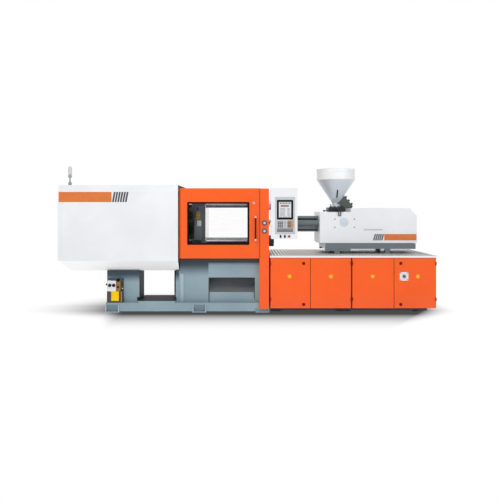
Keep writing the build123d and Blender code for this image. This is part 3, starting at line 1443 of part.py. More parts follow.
# Power unit in the cabinet: oil tank, finned motor and pump
with BuildPart() as power_unit:
    tank_top_z = tray_top_z + oil_tank_height
    tank_right_x = oil_tank_left_x + oil_tank_length
    motor_z = tank_top_z + motor_foot_height + motor_radius
    motor_left_x = oil_tank_left_x + (oil_tank_length - motor_length - pump_length) / 2
    motor_right_x = motor_left_x + motor_length
    bar(oil_tank_left_x, tank_right_x, -oil_tank_width / 2, oil_tank_width / 2, tray_top_z, tank_top_z)
    rod_x(motor_left_x, motor_right_x, 0, motor_z, motor_radius - motor_fin_height)
    rod_x(motor_right_x, motor_right_x + pump_length, 0, motor_z, pump_radius)
    with Locations(Plane(origin=((motor_left_x + motor_right_x) / 2, 0, motor_z), x_dir=(0, 1, 0),
            z_dir=(1, 0, 0))):
        with PolarLocations(motor_radius - motor_fin_height, motor_fin_count):
            Box(2 * motor_fin_height, motor_fin_thickness, motor_length - motor_end_length)
    foot_width = motor_radius
    bar(motor_left_x, motor_right_x, -foot_width, foot_width, tank_top_z, tank_top_z + motor_foot_height)
    bar(motor_left_x + motor_end_length, motor_right_x - motor_end_length, -foot_width / 2, foot_width / 2,
        tank_top_z, motor_z)
finish(power_unit, "power_unit")

# Switchgear plate in the right half of the cabinet
with BuildPart() as switchgear:
    plate_back_y = gear_plate_y + gear_plate_sheet
    bar(gear_plate_left_x, gear_plate_right_x, gear_plate_y, plate_back_y, tray_top_z, gear_plate_top_z)
    row_z = gear_plate_top_z - breaker_height
    for column in range(breaker_count):
        breaker_x = gear_plate_left_x + breaker_pitch * (column + 1)
        bar(breaker_x, breaker_x + breaker_width, gear_plate_y - breaker_depth, gear_plate_y,
            row_z - breaker_height / 2, row_z + breaker_height / 2)
    for column in range(2):
        unit_x = gear_plate_right_x - breaker_pitch - (column + 1) * (drive_unit_width + breaker_pitch)
        bar(unit_x, unit_x + drive_unit_width, gear_plate_y - drive_unit_depth, gear_plate_y,
            tray_top_z + breaker_height, tray_top_z + breaker_height + drive_unit_height)
finish(switchgear, "switchgear")

# Rails that carry the injection unit, on pedestals on the table
with BuildPart() as injection_rails:
    table_top_z = base_top_z + deck_sheet + deck_rib_height
    beam_bottom_z = beam_top_z - beam_height
    beam_outer_y = beam_inner_y + beam_width
    for side in (-1, 1):
        middle_y = side * (beam_inner_y + beam_outer_y) / 2
        low_y = middle_y - beam_width / 2
        high_y = middle_y + beam_width / 2
        bar(beam_left_x, beam_right_x, low_y, high_y, beam_bottom_z, beam_top_z)
        bar(beam_left_x, beam_block_right_x, low_y, high_y, beam_bottom_z - beam_block_height, beam_bottom_z)
        for start_x in (pedestal_left_x, pedestal_right_x):
            bar(start_x, start_x + pedestal_width, low_y, high_y, table_top_z, beam_bottom_z)
    for start_x in (beam_left_x, beam_right_x - beam_tie_width):
        bar(start_x, start_x + beam_tie_width, -beam_inner_y, beam_inner_y, beam_bottom_z, beam_top_z)
finish(injection_rails, "injection_rails")

# Injection carriage: saddle, flange, feed housing, rear plate, drive rods and pull cylinders
with BuildPart() as injection_carriage:
    flange_right_x = housing_flange_left_x + housing_flange_length
    rear_plate_right_x = rear_plate_left_x + rear_plate_thickness
    bar(housing_flange_left_x, saddle_right_x, -saddle_half_y, saddle_half_y, saddle_bottom_z, saddle_top_z)
    bar(housing_flange_left_x, flange_right_x, -housing_flange_half_y, housing_flange_half_y, saddle_top_z,
        housing_flange_top_z)
    bar(housing_left_x, housing_right_x, -housing_half_y, housing_half_y, saddle_top_z, housing_top_z)
    bar(rear_plate_left_x, rear_plate_right_x, -housing_flange_half_y, housing_flange_half_y, saddle_top_z,
        housing_flange_top_z)
    for side in (-1, 1):
        rod_x(flange_right_x, rear_plate_left_x, side * drive_rod_y, clamp_axis_z, drive_rod_radius)
        cylinder_y = side * pull_cylinder_y
        rod_x(pull_cylinder_left_x, housing_flange_left_x, cylinder_y, pull_cylinder_z, pull_cylinder_radius)
        rod_x(pull_bore_left_x, pull_bore_right_x, cylinder_y, pull_cylinder_z, pull_cylinder_bore,
            Mode.SUBTRACT)
        rod_x(pull_cylinder_left_x, pull_bore_left_x, cylinder_y, pull_cylinder_z,
              pull_rod_radius + bore_clearance, Mode.SUBTRACT)
    rod_x(housing_flange_left_x, housing_right_x, 0, clamp_axis_z, barrel_radius + bore_clearance,
        Mode.SUBTRACT)
    rod_z(clamp_axis_z, housing_top_z, hopper_x, 0, feed_throat_radius, Mode.SUBTRACT)
finish(injection_carriage, "injection_carriage")

# Barrel with its feed hole
with BuildPart() as barrel:
    rod_x(barrel_left_x, barrel_right_x, 0, clamp_axis_z, barrel_radius)
    rod_x(barrel_left_x, barrel_right_x, 0, clamp_axis_z, barrel_bore_radius, Mode.SUBTRACT)
    rod_z(clamp_axis_z, clamp_axis_z + barrel_radius, hopper_x, 0, feed_throat_radius, Mode.SUBTRACT)
finish(barrel, "barrel")

# Nozzle, turned, with a hexagon for the spanner
with BuildPart() as nozzle:
    with BuildSketch(Plane.XZ) as nozzle_half:
        with BuildLine():
            Polyline(
                (nozzle_tip_x, clamp_axis_z + nozzle_bore_radius),
                (nozzle_tip_x, clamp_axis_z + nozzle_tip_radius),
                (nozzle_tip_x + nozzle_taper_length, clamp_axis_z + nozzle_body_radius),
                (barrel_left_x - nozzle_hex_length, clamp_axis_z + nozzle_body_radius),
                (barrel_left_x, clamp_axis_z + nozzle_body_radius),
                (barrel_left_x, clamp_axis_z + nozzle_bore_radius),
                close=True,
            )
        make_face()
    revolve(axis=Axis((0, 0, clamp_axis_z), (1, 0, 0)))
    with BuildSketch(side_plane(barrel_left_x - nozzle_hex_length)):
        with Locations((0, clamp_axis_z)):
            RegularPolygon(nozzle_hex_radius, 6)
            Circle(nozzle_bore_radius, mode=Mode.SUBTRACT)
    extrude(amount=nozzle_hex_length)
finish(nozzle, "nozzle")

# Heater bands, each with its terminal box on top
with BuildPart() as heater_bands:
    for index in range(band_count):
        start_x = band_first_x + index * band_pitch
        rod_x(start_x, start_x + band_width, 0, clamp_axis_z, band_radius)
        bar(start_x + band_width / 2 - band_box_half, start_x + band_width / 2 + band_box_half,
            -band_box_half,
            band_box_half, clamp_axis_z, clamp_axis_z + band_radius + band_box_half)
        rod_x(start_x, start_x + band_width, 0, clamp_axis_z, barrel_radius + bore_clearance, Mode.SUBTRACT)
finish(heater_bands, "heater_bands")

# Barrel guard, a slotted sheet hood with an open foot
with BuildPart() as barrel_guard:
    bar(guard_left_x, housing_flange_left_x, -guard_half_y, guard_half_y, guard_bottom_z, guard_top_z)
    bar(guard_left_x + guard_sheet, housing_flange_left_x, guard_sheet - guard_half_y,
        guard_half_y - guard_sheet,
        guard_bottom_z, guard_top_z - guard_sheet, Mode.SUBTRACT)
    guard_middle_x = (guard_left_x + housing_flange_left_x) / 2
    guard_middle_z = (guard_bottom_z + guard_top_z) / 2
    with BuildSketch(front_plane(-guard_half_y)):
        with Locations((guard_middle_x, guard_middle_z)):
            with GridLocations(guard_slot_pitch_x, guard_slot_pitch_z, guard_slot_columns, guard_slot_rows):
                Rectangle(guard_slot_length, guard_slot_height)
    extrude(amount=-2 * guard_half_y, mode=Mode.SUBTRACT)
    rod_x(guard_left_x, guard_left_x + guard_sheet, 0, clamp_axis_z, guard_hole_radius, Mode.SUBTRACT)
finish(barrel_guard, "barrel_guard")

# Screw with one flight, pointed at the nozzle end
with BuildPart() as screw:
    with BuildSketch(Plane.XZ):
        with BuildLine():
            Polyline(
                (screw_tip_x, clamp_axis_z),
                (screw_tip_x + screw_tip_length, clamp_axis_z + screw_core_radius),
                (screw_flight_end_x, clamp_axis_z + screw_core_radius),
                (screw_flight_end_x, clamp_axis_z + screw_shank_radius),
                (screw_shank_end_x, clamp_axis_z + screw_shank_radius),
                (screw_shank_end_x, clamp_axis_z),
                close=True,
            )
        make_face()
    revolve(axis=Axis((0, 0, clamp_axis_z), (1, 0, 0)))
    flight_start_x = screw_tip_x + screw_tip_length
    flight_length = screw_flight_end_x - flight_start_x - screw_flight_width
    flight_middle = (screw_core_radius - screw_flight_root + screw_radius) / 2
    with BuildLine(mode=Mode.PRIVATE) as flight_path:
        Helix(screw_pitch, flight_length, flight_middle, center=(flight_start_x, 0, clamp_axis_z),
              direction=(1, 0, 0))
    with BuildSketch(Plane(origin=flight_path.line @ 0, x_dir=(0, 0, 1), z_dir=flight_path.line % 0)):
        Rectangle(screw_radius - screw_core_radius + screw_flight_root, screw_flight_width)
    sweep(path=flight_path.line, is_frenet=True)
finish(screw, "screw")

# Screw drive: thrust plate on the drive rods, with the screw motor behind it
with BuildPart() as screw_drive:
    thrust_right_x = thrust_left_x + thrust_thickness
    with BuildSketch(side_plane(thrust_left_x)):
        with Locations((0, clamp_axis_z)):
            RectangleRounded(2 * thrust_half_y, 2 * thrust_half_z, drive_rod_radius)
            with GridLocations(2 * drive_rod_y, 0, 2, 1):
                Circle(drive_rod_radius + bore_clearance, mode=Mode.SUBTRACT)
    extrude(amount=thrust_thickness)
    rod_x(thrust_right_x, thrust_right_x + screw_motor_length, 0, clamp_axis_z, screw_motor_radius)
    rod_x(thrust_left_x, screw_shank_end_x + shank_end_gap, 0, clamp_axis_z,
        screw_shank_radius + bore_clearance,
          Mode.SUBTRACT)
finish(screw_drive, "screw_drive")


def injection_cover_side(inset, bottom_z):
    """The injection cover's side profile, pulled in by the wall on its closed edges."""
    slope = radians(45)
    shift = inset * (1 / cos(slope) - 1)
    low_top_z = injection_cover_low_top_z - inset
    top_z = injection_cover_top_z - inset
    with BuildSketch(front_plane(inset - injection_cover_half_y)) as profile:
        with BuildLine():
            Polyline(
                (injection_cover_left_x, bottom_z),
                (injection_cover_right_x - inset, bottom_z),
                (injection_cover_right_x - inset, injection_cover_slope_z - shift),
                (injection_cover_slope_x - shift, top_z),
                (injection_cover_step_x + inset, top_z),
                (injection_cover_step_x + inset, low_top_z),
                (injection_cover_left_x, low_top_z),
                close=True,
            )
        make_face()
    return profile.sketch


# Injection cover, a folded sheet hood with an open foot and an open left end
with BuildPart() as injection_cover:
    wall = injection_cover_wall
    extrude(injection_cover_side(0, injection_cover_bottom_z), amount=-2 * injection_cover_half_y)
    extrude(injection_cover_side(wall, injection_cover_bottom_z), amount=-2 * (injection_cover_half_y - wall),
            mode=Mode.SUBTRACT)
    bar(housing_left_x - gate_seam, housing_right_x + gate_seam, -housing_half_y - gate_seam,
        housing_half_y + gate_seam, injection_cover_low_top_z - wall, injection_cover_low_top_z,
        Mode.SUBTRACT)
    for side in (-1, 1):
        outer_y = side * injection_cover_half_y
        inner_y = side * (injection_cover_half_y - wall)
        bar(grip_slot_left_x, grip_slot_left_x + grip_slot_length, min(outer_y, inner_y),
            max(outer_y, inner_y),
            grip_slot_z, grip_slot_z + grip_slot_height, Mode.SUBTRACT)
finish(injection_cover, "injection_cover")

# Hopper base with the shutter's slot, the drain tray and the pull knob
with BuildPart() as hopper_base:
    base_left = hopper_x - base_half_width
    base_right = hopper_x + base_half_width
    slot_half = shutoff_half_width + running_gap
    with BuildSketch(Plane.XY.offset(housing_top_z)):
        with Locations((hopper_x, 0)):
            Rectangle(2 * base_half_width, 2 * base_half_width)
            Circle(feed_hole_radius, mode=Mode.SUBTRACT)
    extrude(amount=hopper_base_top_z - housing_top_z)
    bar(base_right, tray_right_x, -drain_half_y, drain_half_y, hopper_base_top_z - tray_height,
        hopper_base_top_z)
    bar(hopper_x - slot_half, hopper_x + slot_half, -base_half_width, base_half_width,
        shutoff_bottom_z - running_gap, shutoff_bottom_z + shutoff_thickness + running_gap, Mode.SUBTRACT)
    knob_z = housing_top_z + pull_knob_radius
    rod_x(base_left - pull_knob_reach, base_left, 0, knob_z, pull_knob_radius / 2)
    rod_x(base_left - pull_knob_reach, base_left - pull_knob_reach / 2, 0, knob_z, pull_knob_radius)
finish(hopper_base, "hopper_base")

# Shutter, a strap in the hopper base that ends in a loop handle
with BuildPart() as shutoff_slide:
    shutoff_top_z = shutoff_bottom_z + shutoff_thickness
    with BuildSketch(Plane.XY.offset(shutoff_bottom_z)):
        with BuildLine():
            Polyline(
                (hopper_x - shutoff_half_width, shutoff_back),
                (hopper_x - shutoff_half_width, -base_half_width - shutoff_neck),
                (hopper_x - loop_half_width, -base_half_width - 2 * shutoff_neck),
                (hopper_x - loop_half_width, -shutoff_reach),
                (hopper_x + loop_half_width, -shutoff_reach),
                (hopper_x + loop_half_width, -base_half_width - 2 * shutoff_neck),
                (hopper_x + shutoff_half_width, -base_half_width - shutoff_neck),
                (hopper_x + shutoff_half_width, shutoff_back),
                close=True,
            )
        make_face()
        with Locations((hopper_x, 0)):
            Circle(feed_hole_radius, mode=Mode.SUBTRACT)
    extrude(amount=shutoff_thickness)
    bar(hopper_x - loop_half_width, hopper_x + loop_half_width, -shutoff_reach, loop_bar - shutoff_reach,
        loop_bottom_z, shutoff_top_z)
    bar(hopper_x - loop_half_width + loop_bar, hopper_x + loop_half_width - loop_bar, -shutoff_reach,
        loop_bar - shutoff_reach, loop_bottom_z + loop_bar, shutoff_bottom_z, Mode.SUBTRACT)
finish(shutoff_slide, "shutoff_slide")


def hopper_outline(inset):
    """Half of the hopper's section, shifted inwards by the sheet for its inner face."""
    with BuildSketch(Plane.XZ) as half:
        with BuildLine():
            Polyline(
                (hopper_x, hopper_base_top_z),
                (hopper_x + hopper_neck_radius - inset, hopper_base_top_z),
                (hopper_x + hopper_neck_radius - inset, hopper_neck_z),
                (hopper_x + hopper_radius - inset, hopper_shoulder_z),
                (hopper_x + hopper_radius - inset, hopper_rim_z),
                (hopper_x, hopper_rim_z),
                close=True,
            )
        make_face()
    return half.sketch


# Hopper: spun shell, neck flange, rim bead, and the drain chute with its cover knobs
hopper_axis = Axis((hopper_x, 0, 0), (0, 0, 1))
with BuildPart() as hopper:
    revolve(hopper_outline(0), axis=hopper_axis)
    drain_top = (drain_top_x, drain_top_z)
    drain_end = (drain_end_x, drain_end_z)
    drain_length = hypot(drain_end_x - drain_top_x, drain_end_z - drain_top_z)
    with BuildSketch(front_plane(-drain_half_y)):
        with BuildLine():
            Polyline(
                (hopper_x, drain_top_z),
                drain_top,
                drain_end,
                (tray_right_x, hopper_base_top_z),
                (hopper_x + hopper_neck_radius + drain_sole, hopper_base_top_z),
                (hopper_x, hopper_neck_z),
                close=True,
            )
        make_face()
    extrude(amount=-2 * drain_half_y)
    cover_normal = Vector(drain_top_z - drain_end_z, 0, drain_end_x - drain_top_x)
    cover_along = Vector(drain_end_x - drain_top_x, 0, drain_end_z - drain_top_z)
    cover_middle = ((drain_top_x + drain_end_x) / 2, 0, (drain_top_z + drain_end_z) / 2)
    cover_plane = Plane(origin=cover_middle, x_dir=cover_along, z_dir=cover_normal)
    with Locations(cover_plane):
        Box(drain_length, 2 * drain_half_y, drain_plate_thickness,
            align=(Align.CENTER, Align.CENTER, Align.MIN))
        with GridLocations(drain_length / 3, drain_half_y, 3, 1):
            Cylinder(drain_knob_radius, drain_knob_reach, align=(Align.CENTER, Align.CENTER, Align.MIN))
    rod_z(hopper_base_top_z, hopper_base_top_z + hopper_flange_thickness, hopper_x, 0, hopper_flange_radius)
    rod_z(hopper_rim_z - hopper_bead_height, hopper_rim_z, hopper_x, 0, hopper_radius + hopper_bead_reach)
    revolve(hopper_outline(hopper_sheet), axis=hopper_axis, mode=Mode.SUBTRACT)
    bar(hopper_x - sight_width / 2, hopper_x + sight_width / 2, -hopper_radius, 0, sight_bottom_z,
        sight_top_z,
        Mode.SUBTRACT)
finish(hopper, "hopper")

# Loose lid with a knob
with BuildPart() as hopper_lid:
    rod_z(hopper_rim_z, hopper_rim_z + hopper_lid_thickness, hopper_x, 0, hopper_radius + hopper_bead_reach)
    lip_radius = hopper_radius - hopper_sheet - running_gap
    rod_z(hopper_rim_z - hopper_lid_lip, hopper_rim_z, hopper_x, 0, lip_radius)
    rod_z(hopper_rim_z - hopper_lid_lip, hopper_rim_z, hopper_x, 0, lip_radius - hopper_sheet, Mode.SUBTRACT)
finish(hopper_lid, "hopper_lid")

# Turns of each follower for one metre of clamp travel, and the crosshead's share of it
metre = 1000.0
clamp_metres = clamp_stroke / metre
rear_turn = direction(tail_pivot, knee_closed) - direction(tail_pivot, knee)
front_turn = remainder(direction(front_pivot_closed, knee_closed) - direction(front_pivot, knee),
    radians(360))
drive_turn = direction(drive_pivot_closed, eye_closed) - direction(drive_pivot, eye_open)
for label, turn in (("rear link", rear_turn), ("front link", front_turn), ("crosshead link", drive_turn)):
    print(label, "turns", round(degrees(turn), 4), "degrees, ratio", round(turn / clamp_metres, 6))
print("crosshead stroke", round(crosshead_stroke, 4), "ratio", round(crosshead_stroke / clamp_stroke, 6))
for label, point in (("tail pivot", tail_pivot), ("front pivot", front_pivot),
        ("crosshead pivot", drive_pivot)):
    print(label, round(point[0], 4), round(point[1], 4))
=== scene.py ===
import logging
import math
from dataclasses import dataclass, field
from enum import Enum
from itertools import product
from typing import Iterable, Sequence

import bmesh
import bpy
import numpy as np
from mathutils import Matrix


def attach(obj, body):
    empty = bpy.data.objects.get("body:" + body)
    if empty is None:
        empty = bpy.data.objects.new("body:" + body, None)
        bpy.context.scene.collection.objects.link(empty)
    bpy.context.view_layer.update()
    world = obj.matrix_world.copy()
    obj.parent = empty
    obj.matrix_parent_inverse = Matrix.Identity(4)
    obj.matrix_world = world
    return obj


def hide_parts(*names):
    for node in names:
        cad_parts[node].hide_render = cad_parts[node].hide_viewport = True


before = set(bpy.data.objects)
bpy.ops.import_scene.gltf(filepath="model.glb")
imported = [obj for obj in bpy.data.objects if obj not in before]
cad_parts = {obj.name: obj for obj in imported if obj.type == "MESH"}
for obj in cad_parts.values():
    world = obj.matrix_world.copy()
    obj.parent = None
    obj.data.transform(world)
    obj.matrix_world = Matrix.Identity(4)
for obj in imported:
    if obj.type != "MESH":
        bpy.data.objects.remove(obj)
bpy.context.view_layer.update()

# The visual model of an injection moulding machine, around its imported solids.
# Shapes are in millimetres until a piece is made, and finishes and the studio are in metres.
# X, Y and Z are those of the solids.

METRE = 0.001
SHARP_EDGE = math.radians(32)
SUNK = 0.4  # how far a film or strip is let into the sheet that it lies on
FULL_TURN = 2 * math.pi
WHITE = (1.0, 1.0, 1.0)
WHOLE_DEPTH = (-0.01, 1.0)
FOOT = 0.166  # width in metres of a foot's front between its two gussets
GUSSET = 0.0105  # thickness in metres of a gusset's edge

Colour = tuple[float, float, float]
Span = tuple[float, float]
Point = Sequence[float]
log = logging.getLogger("machine")


def hue(red: int, green: int, blue: int) -> Colour:
    """A display colour in steps of 255 as linear light.

    Args:
        red: Red step.
        green: Green step.
        blue: Blue step.

    Returns:
        The three linear values.
    """
    share = np.array([red, green, blue]) / 255
    linear = np.where(share > 0.04045, ((share + 0.055) / 1.055) ** 2.4, share / 12.92)
    return tuple(float(x) for x in linear)


class Facing(Enum):
    """The side a flat piece looks to: its own right, up and out directions."""

    FRONT = ((1, 0, 0), (0, 0, 1), (0, -1, 0))
    BACK = ((-1, 0, 0), (0, 0, 1), (0, 1, 0))
    LEFT = ((0, -1, 0), (0, 0, 1), (-1, 0, 0))
    RIGHT = ((0, 1, 0), (0, 0, 1), (1, 0, 0))
    TOP = ((1, 0, 0), (0, 1, 0), (0, 0, 1))


class Grain(Enum):
    """How far a brushed finish is drawn out along each axis, as cells per metre."""

    ALONG_X = (4.0, 260.0, 260.0)
    ALONG_Y = (260.0, 4.0, 260.0)
    ALONG_Z = (260.0, 260.0, 4.0)


# Shader maths


class Wire:
    """One output socket, whose operators add Math nodes."""

    def __init__(self, graph: "Graph", socket: bpy.types.NodeSocket) -> None:
        """Keeps the graph and the socket."""
        self.graph = graph
        self.socket = socket

    def __add__(self, other: "Wire | float") -> "Wire":
        """Sum."""
        return self.graph.maths("ADD", self, other)

    def __radd__(self, other: "Wire | float") -> "Wire":
        """Sum, with the number first."""
        return self.graph.maths("ADD", other, self)

    def __sub__(self, other: "Wire | float") -> "Wire":
        """Difference."""
        return self.graph.maths("SUBTRACT", self, other)

    def __rsub__(self, other: "Wire | float") -> "Wire":
        """Difference, with the number first."""
        return self.graph.maths("SUBTRACT", other, self)

    def __mul__(self, other: "Wire | float") -> "Wire":
        """Product."""
        return self.graph.maths("MULTIPLY", self, other)

    def __rmul__(self, other: "Wire | float") -> "Wire":
        """Product, with the number first."""
        return self.graph.maths("MULTIPLY", other, self)

    def __truediv__(self, other: "Wire | float") -> "Wire":
        """Quotient."""
        return self.graph.maths("DIVIDE", self, other)


class Graph:
    """The nodes of one material or world, which end in its output."""

    def __init__(self, owner: "bpy.types.Material | bpy.types.World", output: str) -> None:
        """Empties the tree and adds its output.

        Args:
            owner: The material or the world.
            output: The type of its output node.
        """
        owner.use_nodes = True
        self.tree = owner.node_tree
        self.tree.nodes.clear()
        self.output = self.tree.nodes.new(output)

    def feed(self, socket: bpy.types.NodeSocket, value: "Wire | float | Sequence[float]") -> None:
        """Gives an input socket its value.

        Args:
            socket: The input socket.
            value: A wire that is linked to it, or the socket's own value.
        """
        if isinstance(value, Wire):
            self.tree.links.new(value.socket, socket)
        elif socket.type == "RGBA" and len(value) == 3:
            socket.default_value = (*value, 1.0)
        else:
            socket.default_value = value

    def node(self, kind: str, inputs: dict | None = None, out: int | str = 0, **settings: object) -> Wire:
        """Adds one node.

        Args:
            kind: The node's type.
            inputs: Values or wires for its sockets, by name or index.
            out: The output that is returned.
            settings: Its own settings, which are set first.

        Returns:
            That output as a wire.
        """
        made = self.tree.nodes.new(kind)
        for key, value in settings.items():
            setattr(made, key, value)
        for key, value in (inputs or {}).items():
            self.feed(made.inputs[key], value)
        return Wire(self, made.outputs[out])

    def maths(self, operation: str, first: "Wire | float", second: "Wire | float" = 0.0) -> Wire:
        """A Math node on one or two values."""
        return self.node("ShaderNodeMath", {0: first, 1: second}, operation=operation)

    def above(self, value: Wire) -> Wire:
        """The value where it is above 0, else 0."""
        return self.maths("MAXIMUM", value)

    def point(self) -> Wire:
        """The place on the piece, in metres in the row frame."""
        return self.node("ShaderNodeTexCoord", out="Object")

    def axes(self) -> list[Wire]:
        """X, Y and Z of the place on the piece."""
        first = self.node("ShaderNodeSeparateXYZ", {0: self.point()})
        return [Wire(self, socket) for socket in first.socket.node.outputs]

    def mapped(self, **mapping: Point) -> Wire:
        """The place on the piece after a mapping, such as its Scale and Location."""
        return self.node("ShaderNodeMapping", {"Vector": self.point(), **mapping})

    def noise(self, scale: float | Point, detail: float = 2.0, rough: float = 0.5) -> Wire:
        """Soft noise from 0 to 1.

        Args:
            scale: Cells per metre, the same on all axes or one number for each.
            detail: How many finer layers it has.
            rough: How strong the finer layers are.

        Returns:
            The noise value.
        """
        even = isinstance(scale, float)
        return self.node("ShaderNodeTexNoise", {"Vector": self.point() if even else self.mapped(Scale=scale),
                                                "Scale": scale if even else 1.0,
                                                "Detail": detail, "Roughness": rough})

    def ramp(self, value: Wire, low: float, high: float) -> Wire:
        """0 below low, 1 above high and a smooth rise between them."""
        return self.node("ShaderNodeMapRange", {"Value": value, "From Min": low, "From Max": high},
                         interpolation_type="SMOOTHSTEP", clamp=True)

    def within(self, value: Wire, span: Span, soft: float = METRE) -> Wire:
        """1 inside a span and 0 outside it, with a rise at both ends."""
        return self.ramp(value, span[0] - soft, span[0]) * (1.0 - self.ramp(value, span[1], span[1] + soft))

    def mix(self, share: Wire, first: Wire | Colour, second: Wire | Colour) -> Wire:
        """A colour between two colours."""
        return self.node("ShaderNodeMix", {0: share, 6: first, 7: second}, 2, data_type="RGBA")

    def bump(self, height: Wire, distance: float, strength: float = 0.5) -> Wire:
        """A normal from a height, with its full depth in metres."""
        return self.node("ShaderNodeBump", {"Height": height, "Distance": distance, "Strength": strength})

    def seen(self) -> Wire:
        """Tells the rays that show the machine from those that light it.

        Returns:
            1 for rays of the camera, of glass and of mirrors, and 0 for the others.
        """
        camera, through, gloss = (self.node("ShaderNodeLightPath", out=f"Is {kind} Ray")
                                  for kind in ("Camera", "Transmission", "Glossy"))
        return self.maths("MAXIMUM", self.maths("MAXIMUM", camera, through), gloss)


class Skin(Graph):
    """A material, whose output shows a Principled shader."""

    def __init__(self, name: str) -> None:
        """Makes the material and its shader.

        Args:
            name: The material's name.
        """
        self.material = bpy.data.materials.new(name)
        super().__init__(self.material, "ShaderNodeOutputMaterial")
        self.shader = self.tree.nodes.new("ShaderNodeBsdfPrincipled")
        self.tree.links.new(self.shader.outputs[0], self.output.inputs[0])

    def surface(self, **sockets: "Wire | float | Sequence[float]") -> None:
        """Feeds the shader's sockets, each named with an underscore for a space."""
        for key, value in sockets.items():
            self.feed(self.shader.inputs[key.replace("_", " ")], value)


# Finishes


@dataclass(frozen=True)
class Finish:
    """A named surface, with the slot of the record that it stands for."""

    name: str
    colour: Colour
    roughness: float
    slot: str

    def material(self) -> bpy.types.Material:
        """Makes the material the first time it is asked for.

        Returns:
            The material.
        """
        found = bpy.data.materials.get(self.name)
        if found is None:
            skin = Skin(self.name)
            self.paint(skin)
            found = skin.material
        return found

    def tone(self, factor: float) -> Colour:
        """The colour made lighter or darker."""
        return tuple(min(1.0, c * factor) for c in self.colour)

    def paint(self, skin: Skin) -> None:
        """Adds the finish's nodes to a material."""
        raise NotImplementedError


@dataclass(frozen=True)
class Zone:
    """A box in which a paint has another colour, in metres: along X, along Z and of Y either way."""

    colour: Colour
    across: Span
    height: Span
    depth: Span = WHOLE_DEPTH
    soft: float = METRE
    metal: float = 0.0
    front_only: bool = False

    def inside(self, skin: Skin, axes: Sequence[Wire]) -> Wire:
        """1 inside the box and 0 outside it.

        Args:
            skin: The material.
            axes: X, Y and Z of the place on the piece.

        Returns:
            The share of the zone at that place.
        """
        x, y, z = axes
        here = skin.within(x, self.across) * skin.within(skin.maths("ABSOLUTE", y), self.depth)
        here = here * skin.within(z, self.height, self.soft)
        return here * skin.ramp(0.0 - y, 0.0, METRE) if self.front_only else here


@dataclass(frozen=True)
class PowderCoat(Finish):
    """Baked powder paint: fine orange peel, slight clouds and dust that settles near the floor."""

    drift: float = 0.05
    peel: float = 0.00012
    coat: float = 0.25
    gloss: float = 0.5
    dust_top: float = 0.35
    dust: Colour = hue(150, 146, 138)
    zones: tuple[Zone, ...] = ()

    def paint(self, skin: Skin) -> None:
        """Clouds, zones and floor dust tint the colour, and two noises roughen the surface; some zones are painted
        shade and painted light.

        Args:
            skin: The material that gets the nodes.
        """
        axes = skin.axes()
        mottle = skin.noise(55.0, 4.0, 0.6)
        dust = (1.0 - skin.ramp(axes[2], 0.0, self.dust_top)) * skin.ramp(mottle, 0.35, 0.8)
        cloud = skin.ramp(skin.noise(1.6, 3.0), 0.3, 0.7)
        tone = skin.mix(cloud, self.tone(1 - self.drift), self.tone(1.02))
        metal: Wire | float = 0.0
        for zone in self.zones:
            here = zone.inside(skin, axes)
            tone = skin.mix(here, tone, zone.colour)
            metal = here * zone.metal + metal if zone.metal else metal
        rough = self.roughness + 0.10 * (mottle - 0.5) + 0.22 * dust - 0.3 * metal
        skin.surface(Base_Color=skin.mix(dust * 0.22, tone, self.dust), Metallic=metal, Roughness=rough,
                     Coat_Weight=self.coat, Coat_Roughness=0.18, Specular_IOR_Level=self.gloss,
                     Normal=skin.bump(skin.noise(480.0, 1.0), self.peel, 0.35))


@dataclass(frozen=True)
class OrangeCoat(PowderCoat):
    """The machine's orange powder coat."""

    colour: Colour = hue(253, 98, 28)
    roughness: float = 0.42
    slot: str = "orange_paint"
    drift: float = 0.04
    coat: float = 0.0
    gloss: float = 0.3


@dataclass(frozen=True)
class CastPaint(Finish):
    """Painted casting: a sandy skin with darker oil in its hollows."""

    grit: float = 0.0006

    def paint(self, skin: Skin) -> None:
        """A coarse noise stands for the sand skin, and oil darkens its low places.

        Args:
            skin: The material that gets the nodes.
        """
        sand = skin.noise(130.0, 4.0, 0.65)
        oil = skin.ramp(skin.noise(6.0, 4.0, 0.6), 0.5, 0.72)
        tone = skin.mix(skin.ramp(sand, 0.3, 0.7), self.tone(0.86), self.colour)
        skin.surface(Base_Color=skin.mix(oil * 0.35, tone, self.tone(0.45)), Coat_Weight=0.1,
                     Roughness=self.roughness - 0.16 * oil, Normal=skin.bump(sand, self.grit))


@dataclass(frozen=True)
class Brushed(Finish):
    """Bare metal with a drawn grain, fine scratches and a few dull smears."""

    grain: Grain = Grain.ALONG_X
    scratch: float = 0.00006
    metal: float = 1.0

    def paint(self, skin: Skin) -> None:
        """Noise drawn out along the grain changes the gloss, and a cloud of smears dulls it.

        Args:
            skin: The material that gets the nodes.
        """
        line = skin.noise(self.grain.value, 3.0, 0.7)
        smear = skin.ramp(skin.noise(7.0, 3.0), 0.48, 0.75)
        colour = skin.mix(line, self.tone(0.88), self.tone(1.06))
        skin.surface(Base_Color=skin.mix(smear * 0.3, colour, self.tone(0.78)), Metallic=self.metal,
                     Roughness=self.roughness + 0.14 * (line - 0.5) + 0.12 * smear,
                     Normal=skin.bump(line, self.scratch, 0.4))


